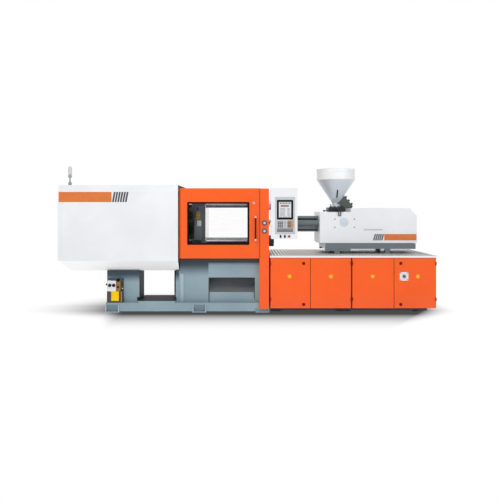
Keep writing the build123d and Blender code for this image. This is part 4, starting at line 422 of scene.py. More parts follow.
@dataclass(frozen=True)
class HopperSteel(Brushed):
    """Brushed steel of the hopper's shell, with a dark coat on the drain chute beside its cone."""

    chute: Colour = hue(72, 84, 80)
    drum: Colour = hue(250, 251, 252)
    axis_x: float = 1.343
    neck: Span = (0.053, 1.542)
    shoulder: Span = (0.284, 1.890)
    chute_top: Span = (1.660, 1.670)
    drum_foot: Span = (1.888, 1.891)

    def paint(self, skin: Skin) -> None:
        """The drum is paler, and what lies further from the axis than the cone at its height is the chute.

        Args:
            skin: The material that gets the nodes.
        """
        super().paint(skin)
        flat = skin.mapped(Location=(-self.axis_x, 0, 0), Scale=(1, 1, 0))
        reach = skin.node("ShaderNodeVectorMath", {0: flat}, "Value", operation="LENGTH")
        height = skin.axes()[2]
        cone = skin.node("ShaderNodeMapRange", {
            "Value": height, "From Min": self.neck[1], "From Max": self.shoulder[1],
            "To Min": self.neck[0], "To Max": self.shoulder[0]}, clamp=True)
        chute = skin.ramp(reach - cone, 0.003, 0.005) * (1.0 - skin.ramp(height, *self.chute_top))
        steel = Wire(skin, skin.shader.inputs["Base Color"].links[0].from_socket)
        drum = skin.ramp(height, *self.drum_foot)
        skin.surface(Base_Color=skin.mix(drum, skin.mix(chute, steel, self.chute), self.drum),
                     Metallic=self.metal * (1.0 - chute) * (1.0 - 0.8 * drum))


@dataclass(frozen=True)
class Moulded(Finish):
    """Moulded plastic, rubber or printed film with a fine spark grain."""

    grain: float = 0.00008
    coat: float = 0.0
    glow: float = 0.0
    see_through: float = 1.0
    gloss: float = 0.5

    def paint(self, skin: Skin) -> None:
        """A fine noise gives the spark grain, and a slow one the handling marks.

        Args:
            skin: The material that gets the nodes.
        """
        touch = skin.ramp(skin.noise(18.0, 3.0), 0.4, 0.7)
        colour = skin.mix(touch * 0.35, self.colour, self.tone(0.82))
        skin.surface(Base_Color=colour, Roughness=self.roughness + 0.12 * touch, Coat_Weight=self.coat,
                     Alpha=self.see_through, Specular_IOR_Level=self.gloss,
                     Normal=skin.bump(skin.noise(900.0, 1.0), self.grain, 0.3))
        if self.glow:
            skin.surface(Emission_Color=colour, Emission_Strength=self.glow)


@dataclass(frozen=True)
class ClearSheet(Finish):
    """Clear guard sheet, almost unseen but for its gloss and a little wiping haze."""

    veil: float = 0.006

    def paint(self, skin: Skin) -> None:
        """The sheet lets light straight through, and wiping marks make it slightly less clear.

        Args:
            skin: The material that gets the nodes.
        """
        wipe = skin.noise((3.0, 3.0, 26.0), 3.0, 0.6)
        skin.surface(Base_Color=self.colour, Roughness=self.roughness + 0.08 * wipe,
                     Alpha=self.veil + 0.012 * skin.ramp(wipe, 0.45, 0.75))


@dataclass(frozen=True)
class Tread(Finish):
    """Ribbed tread sheet: rib tops lighter, partly rubbed wear and partly painted highlight, and valleys darker as
    painted shade.
    """

    rib: Span = (0.7975, 0.8015)
    lip: Span = (0.7945, 0.7955)

    def paint(self, skin: Skin) -> None:
        """Height picks the rib tops from the valleys, and scuffs break both up.

        Args:
            skin: The material that gets the nodes.
        """
        height = skin.axes()[2]
        scuff = skin.noise(34.0, 4.0, 0.65)
        # painted shade in the valleys between the ribs; the rib tops are lighter, partly rubbed wear and partly
        # painted highlight
        valley = skin.mix(scuff, self.tone(0.28), self.tone(0.42))
        crown = skin.mix(scuff, self.tone(1.08), self.tone(1.15))
        ribbed = skin.mix(skin.ramp(height, *self.rib), valley, crown)
        skin.surface(Base_Color=skin.mix(1.0 - skin.ramp(height, *self.lip), ribbed, self.colour), Metallic=0.1,
                     Roughness=self.roughness + 0.2 * (scuff - 0.5), Normal=skin.bump(scuff, 0.0004, 0.4))


@dataclass(frozen=True)
class OilFilm(Finish):
    """Ground and hard-plated bar with turning rings and a patchy film of oil."""

    def paint(self, skin: Skin) -> None:
        """Fine rings across X, under patches of oil that darken and smooth the metal.

        Args:
            skin: The material that gets the nodes.
        """
        rings = skin.noise((900.0, 3.0, 3.0))
        oil = skin.ramp(skin.noise(9.0, 4.0, 0.6), 0.42, 0.66)
        skin.surface(Base_Color=skin.mix(oil * 0.5, self.colour, self.tone(0.6)), Metallic=1.0,
                     Roughness=self.roughness + 0.1 * rings - 0.06 * oil, Normal=skin.bump(rings, 0.00002, 0.4))


class Palette:
    """Every finish of the machine."""

    white = PowderCoat("white_powder_coat", hue(240, 243, 246), 0.36, "white_paint")
    # painted light: pure white, brighter than the cover's own white, so that the end sheet looks lit though it lies
    # in shade
    end_white = PowderCoat("end_white_powder_coat", WHITE, 0.36, "white_paint", drift=0.02)
    hood = PowderCoat("hood_powder_coat", hue(240, 243, 246), 0.36, "white_paint", zones=(
        # painted light: the hood's lower fold band is pure white so that it looks as bright as the faces above it
        Zone(WHITE, (-3.0, 0.0), (0.5, 0.7205)),
        *(Zone(hue(150, 154, 158), (-2.656, -2.653), height, depth) for height, depth in (
            ((0.8435, 1.6065), (0.4885, 0.4915)), ((0.8435, 0.8465), (-0.01, 0.4915)),
            ((1.6035, 1.6065), (-0.01, 0.4915))))))
    orange = OrangeCoat("orange_powder_coat")
    door = OrangeCoat("door_powder_coat", zones=tuple(
        Zone(hue(140, 42, 12), seam, (0.0, 0.8), (0.6, 0.7)) for seam in ((0.884, 0.892), (2.055, 2.063))))
    post = OrangeCoat("post_powder_coat", zones=(Zone(hue(226, 228, 230), (0.309, 0.6), (0.0, 2.0)),))
    # painted shade: the rear gate's inner face is near black, as the space inside the gates lies in shade
    inner_shade_orange = OrangeCoat("lined_orange_powder_coat", zones=(
        Zone(hue(46, 48, 52), (-0.951, 0.162), (0.766, 1.72), (-0.01, 0.6365)),))
    bed = PowderCoat("bed_enamel", hue(150, 174, 184), 0.5, "bed_grey_paint", 0.10, coat=0.0, gloss=0.15, zones=(
        # painted shade: the bed darkens upwards under the hood's overhang and under the gate, as a soft shadow
        Zone(hue(62, 74, 84), (-2.1, -0.967), (0.54, 0.9), soft=0.15),
        Zone(hue(70, 84, 94), (-0.967, -0.547), (0.68, 0.9), soft=0.22),
        Zone(hue(84, 92, 104), (-0.967, 0.4), (0.73, 0.9), soft=0.08),
        # painted shade on each foot's front between its two gussets
        *(Zone(hue(118, 138, 148), (left, left + FOOT), (0.012, 0.104), (0.60, 0.622))
          for left in (-1.9745, -0.7515)),
        # painted highlight on the gussets' front edges
        *(Zone(hue(182, 202, 212), (left, left + GUSSET), (0.0, 0.104), (0.545, 0.66))
          for left in (-1.985, -1.8085, -0.762, -0.5855)),
        # painted shade on the inner walls and the sill of the opening through the bed
        Zone(hue(30, 33, 40), (-1.56, -1.0), (0.2, 0.76), (-0.01, 0.538)),
        Zone(hue(30, 33, 40), (-1.56, -1.0), (0.15, 0.2), (-0.01, 0.615))))
    pale_bed = PowderCoat("pale_bed_enamel", hue(166, 186, 194), 0.45, "bed_grey_paint", coat=0.0)
    frame_grey = PowderCoat("frame_enamel", hue(112, 124, 130), 0.45, "grey_paint", 0.10, zones=(
        # painted light: the carriage's left end face is near white, so that it looks lit though it lies in the
        # cover's shade
        Zone(hue(248, 250, 251), (1.131, 1.1345), (0.83, 0.951), (-0.345, 0.345)),))
    plinth_grey = PowderCoat("plinth_enamel", hue(70, 78, 84), 0.5, "bed_grey_paint", 0.12, coat=0.0, gloss=0.3,
                             zones=tuple(Zone(hue(112, 26, 8), gap, (0.062, 0.762), (0.58, 0.70), front_only=True)
                                         for gap in ((0.30, 0.345), (1.43, 1.50), (2.63, 2.70))))
    pump_grey = PowderCoat("pump_enamel", hue(78, 74, 84), 0.45, "grey_paint", 0.12, coat=0.0, gloss=0.2,
                           zones=(Zone(hue(66, 82, 92), (-2.0, -1.7), (0.29, 0.5), soft=0.02),))
    keypad = PowderCoat("keypad_film", hue(200, 203, 207), 0.5, "panel_grey", 0.03, coat=0.0)
    platen = PowderCoat("platen_enamel", hue(78, 84, 88), 0.5, "cast_platen", 0.12, coat=0.0, zones=(
        Zone(hue(240, 242, 244), (-0.603, -0.598), (0.8, 1.7), (-0.01, 0.352), metal=0.9),))
    nut_paint = PowderCoat("nut_enamel", hue(58, 62, 66), 0.45, "dark_steel", coat=0.0, zones=(
        # painted light: the upper nuts are pale as if lit, while the lower ones keep the dark enamel as if shaded
        Zone(hue(232, 235, 238), (0.15, 0.6), (1.3, 1.7)),))
    side_cover = PowderCoat("side_cover_enamel", hue(92, 106, 114), 0.5, "cast_platen", 0.14, coat=0.0)
    gate_grey = PowderCoat("gate_frame_enamel", hue(50, 53, 57), 0.5, "grey_paint", 0.12, coat=0.0)
    casting = CastPaint("casting_enamel", hue(78, 84, 88), 0.5, "cast_platen")
    link_casting = CastPaint("link_enamel", hue(66, 70, 74), 0.48, "cast_platen")
    motor = CastPaint("motor_enamel", hue(70, 92, 116), 0.45, "motor_grey")
    hopper_steel = HopperSteel("hopper_steel", hue(224, 232, 240), 0.36, "sheet_steel", Grain.ALONG_Z, metal=0.3)
    drum_steel = Brushed("drum_steel", hue(246, 248, 250), 0.34, "sheet_steel", Grain.ALONG_Z, metal=0.1)
    sheet = Brushed("drawn_sheet", hue(176, 182, 186), 0.38, "sheet_steel")
    guard = Brushed("guard_sheet", hue(120, 130, 130), 0.45, "sheet_steel", metal=0.6)
    chute = Brushed("chute_sheet", hue(120, 126, 130), 0.46, "sheet_steel", Grain.ALONG_Y, metal=0.3)
    ground = Brushed("ground_steel", hue(196, 200, 204), 0.28, "bright_steel", Grain.ALONG_Y)
    silver = Brushed("satin_silver", hue(206, 208, 212), 0.3, "bright_steel", Grain.ALONG_Z)
    dim_brass = Brushed("dim_brass", hue(150, 128, 66), 0.42, "bright_steel", Grain.ALONG_Z, metal=0.5)
    blackened = Brushed("blackened_steel", hue(52, 54, 58), 0.42, "dark_steel", metal=0.7)
    mica = Brushed("band_jacket", hue(172, 164, 148), 0.4, "mica_band", Grain.ALONG_Y)
    plated = OilFilm("plated_bar", hue(120, 124, 128), 0.16, "chrome_steel")
    tread = Tread("tread_sheet", hue(240, 240, 238), 0.4, "sheet_steel")
    black = Moulded("black_moulding", hue(24, 25, 28), 0.45, "black_plastic", gloss=0.15)
    rubber = Moulded("black_rubber", hue(14, 15, 17), 0.62, "black_plastic", gloss=0.1)
    bezel = Moulded("screen_bezel", hue(20, 23, 27), 0.4, "black_plastic", gloss=0.1)
    dark_red = Moulded("latch_plastic", hue(134, 20, 6), 0.55, "black_plastic", gloss=0.1)
    amber = Moulded("amber_lens", hue(222, 128, 22), 0.22, "amber_plastic", coat=0.5)
    yellow = Moulded("yellow_disc", hue(250, 186, 24), 0.35, "amber_plastic")
    button_brown = Moulded("button_brown", hue(70, 36, 10), 0.4, "amber_plastic")
    key_amber = Moulded("key_amber", hue(196, 142, 84), 0.45, "amber_plastic")
    tank = Moulded("tank_moulding", hue(255, 210, 0), 0.4, "tank_plastic", gloss=0.2)
    cap_blue = Moulded("cap_blue", hue(46, 58, 92), 0.4, "motor_grey")
    rust = Moulded("rust_brown", hue(122, 52, 8), 0.45, "grey_paint", gloss=0.2)
    ochre = Moulded("ochre", hue(186, 168, 66), 0.45, "grey_paint")
    ochre_brown = Moulded("ochre_brown", hue(150, 108, 40), 0.45, "grey_paint")
    knob_grey = Moulded("knob_grey", hue(92, 112, 124), 0.35, "grey_paint")
    stripe = Moulded("stripe_film", hue(70, 72, 80), 0.45, "grey_paint")
    pale_stripe = Moulded("pale_stripe_film", hue(112, 110, 116), 0.45, "grey_paint")
    lamp_grey = Moulded("lamp_grey", hue(148, 152, 154), 0.4, "grey_paint")
    lamp_pale = Moulded("lamp_pale_grey", hue(176, 178, 174), 0.35, "grey_paint")
    lens = Moulded("lamp_lens", hue(226, 228, 228), 0.2, "white_paint", see_through=0.85)
    white_plastic = Moulded("white_plastic", hue(236, 238, 238), 0.35, "white_paint", coat=0.2)
    pale_blue = Moulded("pale_blue_film", hue(208, 222, 232), 0.4, "white_paint")
    plate = Moulded("orange_film", hue(222, 119, 50), 0.42, "orange_paint")
    seam_red = Moulded("seam_red", hue(150, 40, 14), 0.5, "orange_paint")
    key_grey = Moulded("key_grey", hue(86, 89, 94), 0.45, "panel_grey")
    key_dark = Moulded("key_dark", hue(84, 87, 94), 0.45, "panel_grey")
    key_small = Moulded("key_small", hue(62, 65, 70), 0.45, "panel_grey")
    key_pale = Moulded("key_pale", hue(166, 168, 172), 0.45, "panel_grey")
    tan = Moulded("tan_film", hue(196, 160, 120), 0.45, "panel_grey")
    screen = Moulded("screen_glass", hue(214, 218, 222), 0.15, "panel_grey", coat=0.6, glow=0.12)
    screen_mark = Moulded("screen_marks", hue(70, 72, 80), 0.3, "panel_grey")
    screen_band = Moulded("screen_band", hue(150, 120, 110), 0.3, "panel_grey", glow=0.04)
    clear = ClearSheet("clear_sheet", hue(120, 130, 134), 0.05, "clear_window")


# Shapes


@dataclass
class Shape:
    """Corner points and the faces between them, before they become a mesh."""

    points: np.ndarray
    faces: list[np.ndarray]

    def placed(self, centre: Point = (0, 0, 0), facing: "Facing | np.ndarray" = Facing.FRONT) -> "Shape":
        """The shape with its own right, up and out directions turned, and moved to a centre."""
        basis = np.array(facing.value if isinstance(facing, Facing) else facing, float)
        return Shape(np.asarray(centre, float) + self.points @ basis, self.faces)

    def tiled(self, offsets: Iterable[Point]) -> "Shape":
        """One copy of the shape at each offset."""
        return together(*[Shape(self.points + np.asarray(step, float), self.faces) for step in offsets])

    def repeated(self, spots: Iterable[Point], facing: "Facing | np.ndarray" = Facing.FRONT) -> "Shape":
        """One copy of the shape, turned to its facing, at each spot."""
        return self.placed(facing=facing).tiled(spots)


def together(*shapes: Shape) -> Shape:
    """Joins shapes.

    Args:
        shapes: The shapes.

    Returns:
        One shape with all their points and faces.
    """
    starts = np.cumsum([0] + [len(s.points) for s in shapes[:-1]])
    return Shape(np.concatenate([s.points for s in shapes]),
                 [face + start for s, start in zip(shapes, starts) for face in s.faces])


def shell(rings: np.ndarray, loop: bool = False) -> Shape:
    """Quads from each ring of points to the next.

    Args:
        rings: Points, as rings by points by three.
        loop: True where the last ring joins the first; otherwise both ends are filled.

    Returns:
        The closed shape.
    """
    count, size = rings.shape[:2]
    index = np.arange(count * size).reshape(count, size)
    lower, upper = (index, np.roll(index, -1, 0)) if loop else (index[:-1], index[1:])
    quads = np.stack([lower, np.roll(lower, -1, 1), np.roll(upper, -1, 1), upper], -1)
    ends = [] if loop else [index[0][::-1], index[-1]]
    return Shape(rings.reshape(-1, 3), [*quads.reshape(-1, 4), *ends])


def lifted(flat: np.ndarray, heights: Sequence[float]) -> np.ndarray:
    """Flat rings, as rings by points by two, each raised to its own height."""
    lift = np.broadcast_to(np.asarray(heights, float)[:, None, None], flat.shape[:2] + (1,))
    return np.concatenate([flat, lift], -1)


def around(turn: np.ndarray) -> np.ndarray:
    """The cosine and sine of each turn, as points on the unit circle."""
    return np.stack([np.cos(turn), np.sin(turn)], -1)


def nested(width: float, height: float, corner: float, offsets: Sequence[float], heights: Sequence[float],
           steps: int = 4) -> np.ndarray:
    """Rounded rectangles above each other: a corner's centre plus a radius times cosine and sine.

    Args:
        width: Width where the offset is 0.
        height: Height where the offset is 0.
        corner: Corner radius where the offset is 0.
        offsets: How far each ring is moved outwards.
        heights: How far out of the plane each ring lies.
        steps: Steps in each corner.

    Returns:
        The rings, as rings by points by three.
    """
    turn = np.arange(4)[:, None] * math.pi / 2 + np.linspace(0, math.pi / 2, steps + 1)
    signs = np.repeat([[1, 1], [-1, 1], [-1, -1], [1, -1]], steps + 1, axis=0)
    core = signs * [width / 2 - corner, height / 2 - corner]
    radius = (corner + np.asarray(offsets, float))[:, None, None]
    return lifted(core + radius * around(turn.ravel()), heights)


def plate(width: float, height: float, thick: float, corner: float, edge: float, steps: int = 4) -> Shape:
    """A rounded plate: its outline shrinks over the edge as 1 less the cosine while it rises as the sine.

    Args:
        width: Width of the foot.
        height: Height of the foot.
        thick: How far the plate stands out.
        corner: Corner radius.
        edge: Radius of the rounded rim.
        steps: Steps in each corner.

    Returns:
        The plate, round its middle.
    """
    turn = np.linspace(0, math.pi / 2, 4)
    offsets = np.concatenate([[0.0], -edge * (1 - np.cos(turn))])
    heights = np.concatenate([[0.0], thick - edge + edge * np.sin(turn)])
    return shell(nested(width, height, max(corner, edge * 1.05), offsets, heights, steps))


def surround(width: float, height: float, corner: float, profile: Sequence[Point], steps: int = 5) -> Shape:
    """A frame: a closed profile of outward offsets and heights carried round a rounded rectangle."""
    offsets, heights = np.asarray(profile, float).T
    return shell(nested(width, height, corner, offsets, heights, steps), loop=True)


def lathe(profile: Sequence[Point], segments: int = 32) -> Shape:
    """A spun profile: each radius times the cosine and sine of the turn, at its own height.

    Args:
        profile: Radius and height of each ring.
        segments: Points round each ring.

    Returns:
        The solid of revolution, with both ends filled.
    """
    radius, height = np.asarray(profile, float).T
    circle = around(np.linspace(0, FULL_TURN, segments, endpoint=False))
    return shell(lifted(radius[:, None, None] * circle, height))


def hollow(profile: Sequence[Point], segments: int) -> Shape:
    """A spun profile that is open along its axis: its last circle joins its first.

    Args:
        profile: Radius and height of each ring.
        segments: Points round each ring.

    Returns:
        The ring, closed on itself.
    """
    spun = lathe(profile, segments)
    first = np.arange(segments)
    last = first + len(spun.points) - segments
    inner = np.stack([first, last, np.roll(last, -1), np.roll(first, -1)], -1)
    return Shape(spun.points, [*spun.faces[:-2], *inner])


def screw_head(rise: float, segments: int) -> Shape:
    """A domed screw head: a low wall, under a top that rises as a quarter ellipse."""
    turn = np.linspace(0, math.pi / 2 * 0.92, 6)
    return lathe([(9.0, 0.0), *(around(turn) * [9.0, rise] + [0.0, 1.0])], segments)


def prism(outline: Sequence[Point], thick: float, edge: float = 0.0) -> Shape:
    """A flat outline raised straight up, and pulled towards its middle at the top by the edge.

    Args:
        outline: The corners, right and up.
        thick: How far the prism stands out.
        edge: Width of its chamfer.

    Returns:
        The prism, where its outline lies.
    """
    flat = np.asarray(outline, float)
    inward = flat.mean(0) - flat
    top = flat + inward / np.linalg.norm(inward, axis=1, keepdims=True) * edge
    return shell(lifted(np.stack([flat, flat, top]), [0.0, thick - edge, thick]))


def box_prism(across: Span, height: Span, thick: float) -> Shape:
    """A rectangle from its two spans, raised straight up."""
    (left, right), (low, high) = across, height
    return prism([(left, low), (right, low), (right, high), (left, high)], thick)


@dataclass(frozen=True)
class Stripes:
    """Slanted film stripes side by side."""

    start: float
    height: Span
    width: float
    lean: float
    pitch: float
    count: int

    def shape(self, face_y: float) -> Shape:
        """All stripes: a leaning bar, tiled along X.

        Args:
            face_y: The front face that they lie on.

        Returns:
            The stripes as one shape.
        """
        (low, high), near, far = self.height, self.start, self.start + self.width
        bar = prism([(near, low), (far, low), (far + self.lean, high), (near + self.lean, high)], 1.2)
        return bar.repeated([(self.pitch * k, face_y + SUNK, 0) for k in range(self.count)])


# Studio


@dataclass(frozen=True)
class Lamp:
    """A large square lamp aimed at the middle of the machine."""

    name: str
    place: Point
    size: float
    power: float

    def light(self) -> None:
        """Makes the lamp: it turns by the angles whose tangents are the sides of its aim."""
        data = bpy.data.lights.new(self.name, "AREA")
        data.shape, data.size, data.energy = "SQUARE", self.size, self.power
        lamp = bpy.data.objects.new(self.name, data)
        bpy.context.scene.collection.objects.link(lamp)
        lamp.location = self.place
        x, y, z = np.array([0.0, 0.0, 1.0]) - np.array(self.place)
        lamp.rotation_euler = (math.atan2(math.hypot(x, y), -z), 0.0, math.atan2(y, x) - math.pi / 2)


@dataclass(frozen=True)
class FloorShade:
    """The soft shadow painted round the machine: where each side starts to fade, and how fast per metre."""

    depth: float = 0.93
    reach: float = 1.11
    left: Span = (-1.88, 0.777)
    right: Span = (2.52, 2.11)
    front: float = -0.78
    rear: Span = (-0.1, 0.64)
    wing: Span = (-0.53, 0.94)
    wing_rise: Span = (1.7, 2.0)
    slant: Span = (-0.489, 0.64)

    def white(self, graph: Graph) -> Wire:
        """How white the floor is: 1 less the square of its nearness to the machine.

        Args:
            graph: The floor's material.

        Returns:
            Its grey, from almost 0 to 1.
        """
        x, y, _ = graph.axes()
        left = self.left[1] * graph.above(self.left[0] - x)
        wing = self.wing[1] * graph.above(self.wing[0] - y) * graph.ramp(0.0 - x, *self.wing_rise)
        slant = self.slant[1] * graph.above(self.slant[0] - y)
        right = self.right[1] * graph.above(x - self.right[0] + slant)
        front = graph.above(self.front - y) + self.rear[1] * graph.above(y - self.rear[0])
        near = graph.above(1.0 - (left + wing + right + front) / self.reach)
        return 1.0 - self.depth * near * near


# Sub-assemblies


@dataclass
class Assembly:
    """What every sub-assembly can do: finish solids, make pieces and report them."""

    body: str = "machine"
    made: list[str] = field(default_factory=list)

    def dress(self, finish: Finish, *nodes: str) -> None:
        """Puts a finish on solids.

        Args:
            finish: The finish.
            nodes: The solids' names.
        """
        for name in nodes:
            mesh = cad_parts[name].data
            mesh.materials.clear()
            mesh.materials.append(finish.material())

    def piece(self, name: str, shape: Shape, finish: Finish, body: str = "", replaced: str = "") -> None:
        """Makes one piece.

        Args:
            name: The piece's name.
            shape: Its closed shape, in millimetres.
            finish: Its finish.
            body: The body it moves with, where that isn't the sub-assembly's own.
            replaced: The solid that it stands for, if any.
        """
        mesh = bpy.data.meshes.new(name)
        mesh.from_pydata((shape.points * METRE).tolist(), [], shape.faces)
        work = bmesh.new()
        work.from_mesh(mesh)
        bmesh.ops.recalc_face_normals(work, faces=work.faces)
        work.to_mesh(mesh)
        work.free()
        mesh.polygons.foreach_set("use_smooth", np.ones(len(mesh.polygons), bool))
        mesh.set_sharp_from_angle(angle=SHARP_EDGE)
        mesh.materials.append(finish.material())
        made = bpy.data.objects.new(name, mesh)
        bpy.context.scene.collection.objects.link(made)
        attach(made, body or self.body)
        if replaced:
            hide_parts(replaced)
        self.made.append(name)

    def build(self) -> None:
        """Makes the sub-assembly."""
        raise NotImplementedError

    def report(self) -> None:
        """Builds and logs the pieces."""
        self.build()
        log.info("%s: %d pieces: %s", type(self).__name__, len(self.made), ", ".join(self.made))


@dataclass
class Studio(Assembly):
    """Floor, backdrop, lamps and camera."""

    floor_radius: float = 60.0
    floor_grey: float = 0.85
    floor_light: float = 0.5
    sky: float = 0.33
    camera_place: Point = (0.0, -8.65, 1.421)
    lens: float = 41.14
    shift: Span = (0.006, -0.078)
    lamps: tuple[Lamp, ...] = (Lamp("key_lamp", (-2.2, -5.6, 6.8), 4.0, 236.0),
                               Lamp("fill_lamp", (4.8, -6.4, 3.6), 4.5, 72.0),
                               Lamp("rim_lamp", (0.5, 5.5, 6.0), 5.0, 120.0))

    def build(self) -> None:
        """Makes the world, the floor, the lamps and the camera."""
        self.world()
        self.floor()
        for lamp in self.lamps:
            lamp.light()
        self.camera()
        bpy.context.scene.view_settings.view_transform = "Standard"

    def world(self) -> None:
        """A white world where it is seen, mirrored or looked through, and a softer one as light."""
        world = bpy.data.worlds.new("studio")
        bpy.context.scene.world = world
        graph = Graph(world, "ShaderNodeOutputWorld")
        level = graph.node("ShaderNodeMapRange", {"Value": graph.seen(), "To Min": self.sky})
        sky = graph.node("ShaderNodeBackground", {"Color": WHITE, "Strength": level})
        graph.feed(graph.output.inputs[0], sky)

    def floor(self) -> None:
        """A floor that is seen as white with a soft shadow round the machine, and lights it as grey."""
        edge = around(np.linspace(0, FULL_TURN, 96, endpoint=False)) * self.floor_radius
        mesh = bpy.data.meshes.new("studio_floor")
        mesh.from_pydata(lifted(edge[None], [0.0])[0].tolist(), [], [np.arange(len(edge))])
        floor = bpy.data.objects.new("studio_floor", mesh)
        bpy.context.scene.collection.objects.link(floor)
        skin = Skin("studio_floor")
        skin.surface(Base_Color=(self.floor_grey,) * 3, Roughness=0.9, Specular_IOR_Level=0.0,
                     Emission_Color=WHITE, Emission_Strength=self.floor_light)
        white = skin.node("ShaderNodeEmission", {"Color": FloorShade().white(skin)})
        lit = Wire(skin, skin.shader.outputs[0])
        skin.feed(skin.output.inputs[0], skin.node("ShaderNodeMixShader", {0: skin.seen(), 1: lit, 2: white}))
        mesh.materials.append(skin.material)

    def camera(self) -> None:
        """A level camera in front of the machine."""
        data = bpy.data.cameras.new("photo_camera")
        data.lens, (data.shift_x, data.shift_y) = self.lens, self.shift
        camera = bpy.data.objects.new("photo_camera", data)
        bpy.context.scene.collection.objects.link(camera)
        camera.location = self.camera_place
        camera.rotation_euler = (math.pi / 2, 0.0, 0.0)
        bpy.context.scene.camera = camera


@dataclass
class ClampCover(Assembly):
    """The white hood over the clamp, its plain plate and stripes, and the signal lamp."""

    front_y: float = -650.0
    plate_left: float = -2640.0
    fold_x: float = -2585.0
    fold_rate: float = 12.0 / 70.0
    plate_right: float = -1896.0
    plate_height: Span = (1546.0, 1688.0)
    stripes: Stripes = Stripes(-1890.0, (1546.0, 1688.0), 25.0, 26.0, 36.0, 6)
    lamp_place: Point = (-2540.0, -450.0, 1785.0)
    screw_x: Span = (-2590.0, -1030.0)
    roof_screw_y: Span = (-600.0, 600.0)
    rear_screw_z: Span = (760.0, 1640.0)
    seam_x: Span = (-2095.0, -1535.0)
    roof_z: float = 1785.0

    def build(self) -> None:
        """Dresses the hood and builds what is on it."""
        self.dress(Palette.hood, "clamp_cover")
        self.front_plate()
        self.fasteners()
        self.lamp()

    def front_plate(self) -> None:
        """A bare orange film that follows the hood round its corner, and slanted stripes after it."""
        flat = box_prism((self.fold_x, self.plate_right), self.plate_height, 1.4)
        bent = box_prism((self.plate_left, self.fold_x), self.plate_height, 1.4)
        bent.points[:, 2] -= (self.fold_x - bent.points[:, 0]) * self.fold_rate
        film = together(flat, bent).placed((0, self.front_y + SUNK, 0))
        self.piece("cover_plain_plate", film, Palette.plate)
        self.piece("cover_stripes", self.stripes.shape(self.front_y), Palette.stripe)

    def fasteners(self) -> None:
        """Domed screws along the hood's roof and rear, and the seam strips of its roof panels."""
        screw = screw_head(4.0, 16)
        along = np.linspace(*self.screw_x, 9)
        roof = product(along, self.roof_screw_y, [self.roof_z])
        self.piece("cover_roof_screws", screw.repeated(roof, Facing.TOP), Palette.silver)
        seams = product(self.seam_x, [0], [self.roof_z - SUNK])
        strip = plate(26, 1190, 3.0, 4, 1.5)
        self.piece("cover_roof_seams", strip.repeated(seams, Facing.TOP), Palette.white)
        rear = product(along, [-self.front_y], self.rear_screw_z)
        self.piece("cover_rear_screws", screw.repeated(rear, Facing.BACK), Palette.silver)

    def lamp(self) -> None:
        """Foot, stem, ball and clear lens, each a spun profile above the roof."""
        foot = [(25, 0), (25, 31), (23, 36), (11, 62), (9, 66), (9, 112)]
        ball = around(np.radians(np.linspace(-70, 70, 15))) * 28.6 + [0, 137]
        ribs = np.stack([27.0 + 0.7 * np.sin(1.7 * np.arange(28)), np.linspace(163, 252, 28)], -1)
        cap = around(np.linspace(0.05, 1.45, 8)) * [26.5, 25] + [0, 254]
        for name, profile, segments, finish, replaced in (
                ("foot", foot, 32, Palette.lamp_grey, "signal_lamp"), ("ball", ball, 40, Palette.lamp_pale, ""),
                ("lens", np.concatenate([ribs, cap]), 40, Palette.lens, "")):
            self.piece("signal_lamp_" + name, lathe(profile, segments).placed(self.lamp_place, Facing.TOP),
                       finish, replaced=replaced)


@dataclass
class Gate(Assembly):
    """One sliding gate: paint, window seal, clear sheet, lock and grip."""

    body: str = "front_gate"
    paint: Finish = Palette.orange
    facing: Facing = Facing.FRONT
    side: int = -1
    replaced: str = "front_gate_handle"
    face_y: float = 638.0
    window: Point = (-403.0, 1246.5)
    window_size: Span = (860.0, 589.0)
    handle_x: float = 119.0
    handle_height: Span = (1001.0, 1351.0)
    reach: float = 41.0
    lock: Point = (98.0, 1533.0)

    def build(self) -> None:
        """Dresses the gate and gives it its seal, lock and grip."""
        self.dress(self.paint, self.body)
        self.dress(Palette.clear, self.body + "_window")
        self.seal()
        self.lock_face()
        self.grip()

    def on_face(self, shape: Shape, x: float, z: float) -> Shape:
        """A shape placed on the gate's outer face."""
        return shape.placed((x, self.side * self.face_y, z), self.facing)

    def seal(self) -> None:
        """A black rubber lip round the window, a half-round profile carried round the opening."""
        lip = around(np.linspace(math.pi, 0, 7)) * [5.5, 3.2] + 0.5
        profile = [(-20.0, -4.0), (-20.0, -2.6), (-5.0, -2.6), *lip, (6.0, -0.4), (-1.0, -0.4), (-1.0, -4.0)]
        seal = surround(*self.window_size, 8.0, profile)
        self.piece(self.body + "_window_seal", self.on_face(seal, *self.window), Palette.rubber)

    def lock_face(self) -> None:
        """A silver lock face with a raised rim and a key slot."""
        rim = lathe([(17, -0.3), (17, 4.0), (15.5, 5.5), (12.5, 5.5), (11.5, 4.4), (0.8, 4.4)])
        slot = plate(2.4, 11.0, 1.0, 1.0, 0.4).placed((0, 0, 4.2), Facing.TOP)
        self.piece(self.body + "_lock", self.on_face(rim, *self.lock), Palette.silver)
        self.piece(self.body + "_lock_slot", self.on_face(slot, *self.lock), Palette.rubber)

    def grip(self) -> None:
        """A grooved black bar between two pale end blocks that stand on the gate."""
        low, high = self.handle_height
        groove = 0.5 * (np.arange(61) % 6 == 3)
        bar = lathe(np.stack([10.6 - groove, np.linspace(low + 26, high - 26, 61)], -1), 24)
        centre = (self.handle_x, self.side * (self.face_y + self.reach), 0)
        self.piece(self.body + "_grip", bar.placed(centre, Facing.TOP), Palette.black, replaced=self.replaced)
        block = plate(25.0, 30.0, self.reach + 10.6, 9.0, 3.0, 6)
        inset = (high - low) / 2 - 15
        ends = block.tiled([(0, inset, 0), (0, -inset, 0)])
        self.piece(self.body + "_grip_ends", self.on_face(ends, self.handle_x, (low + high) / 2), Palette.silver)


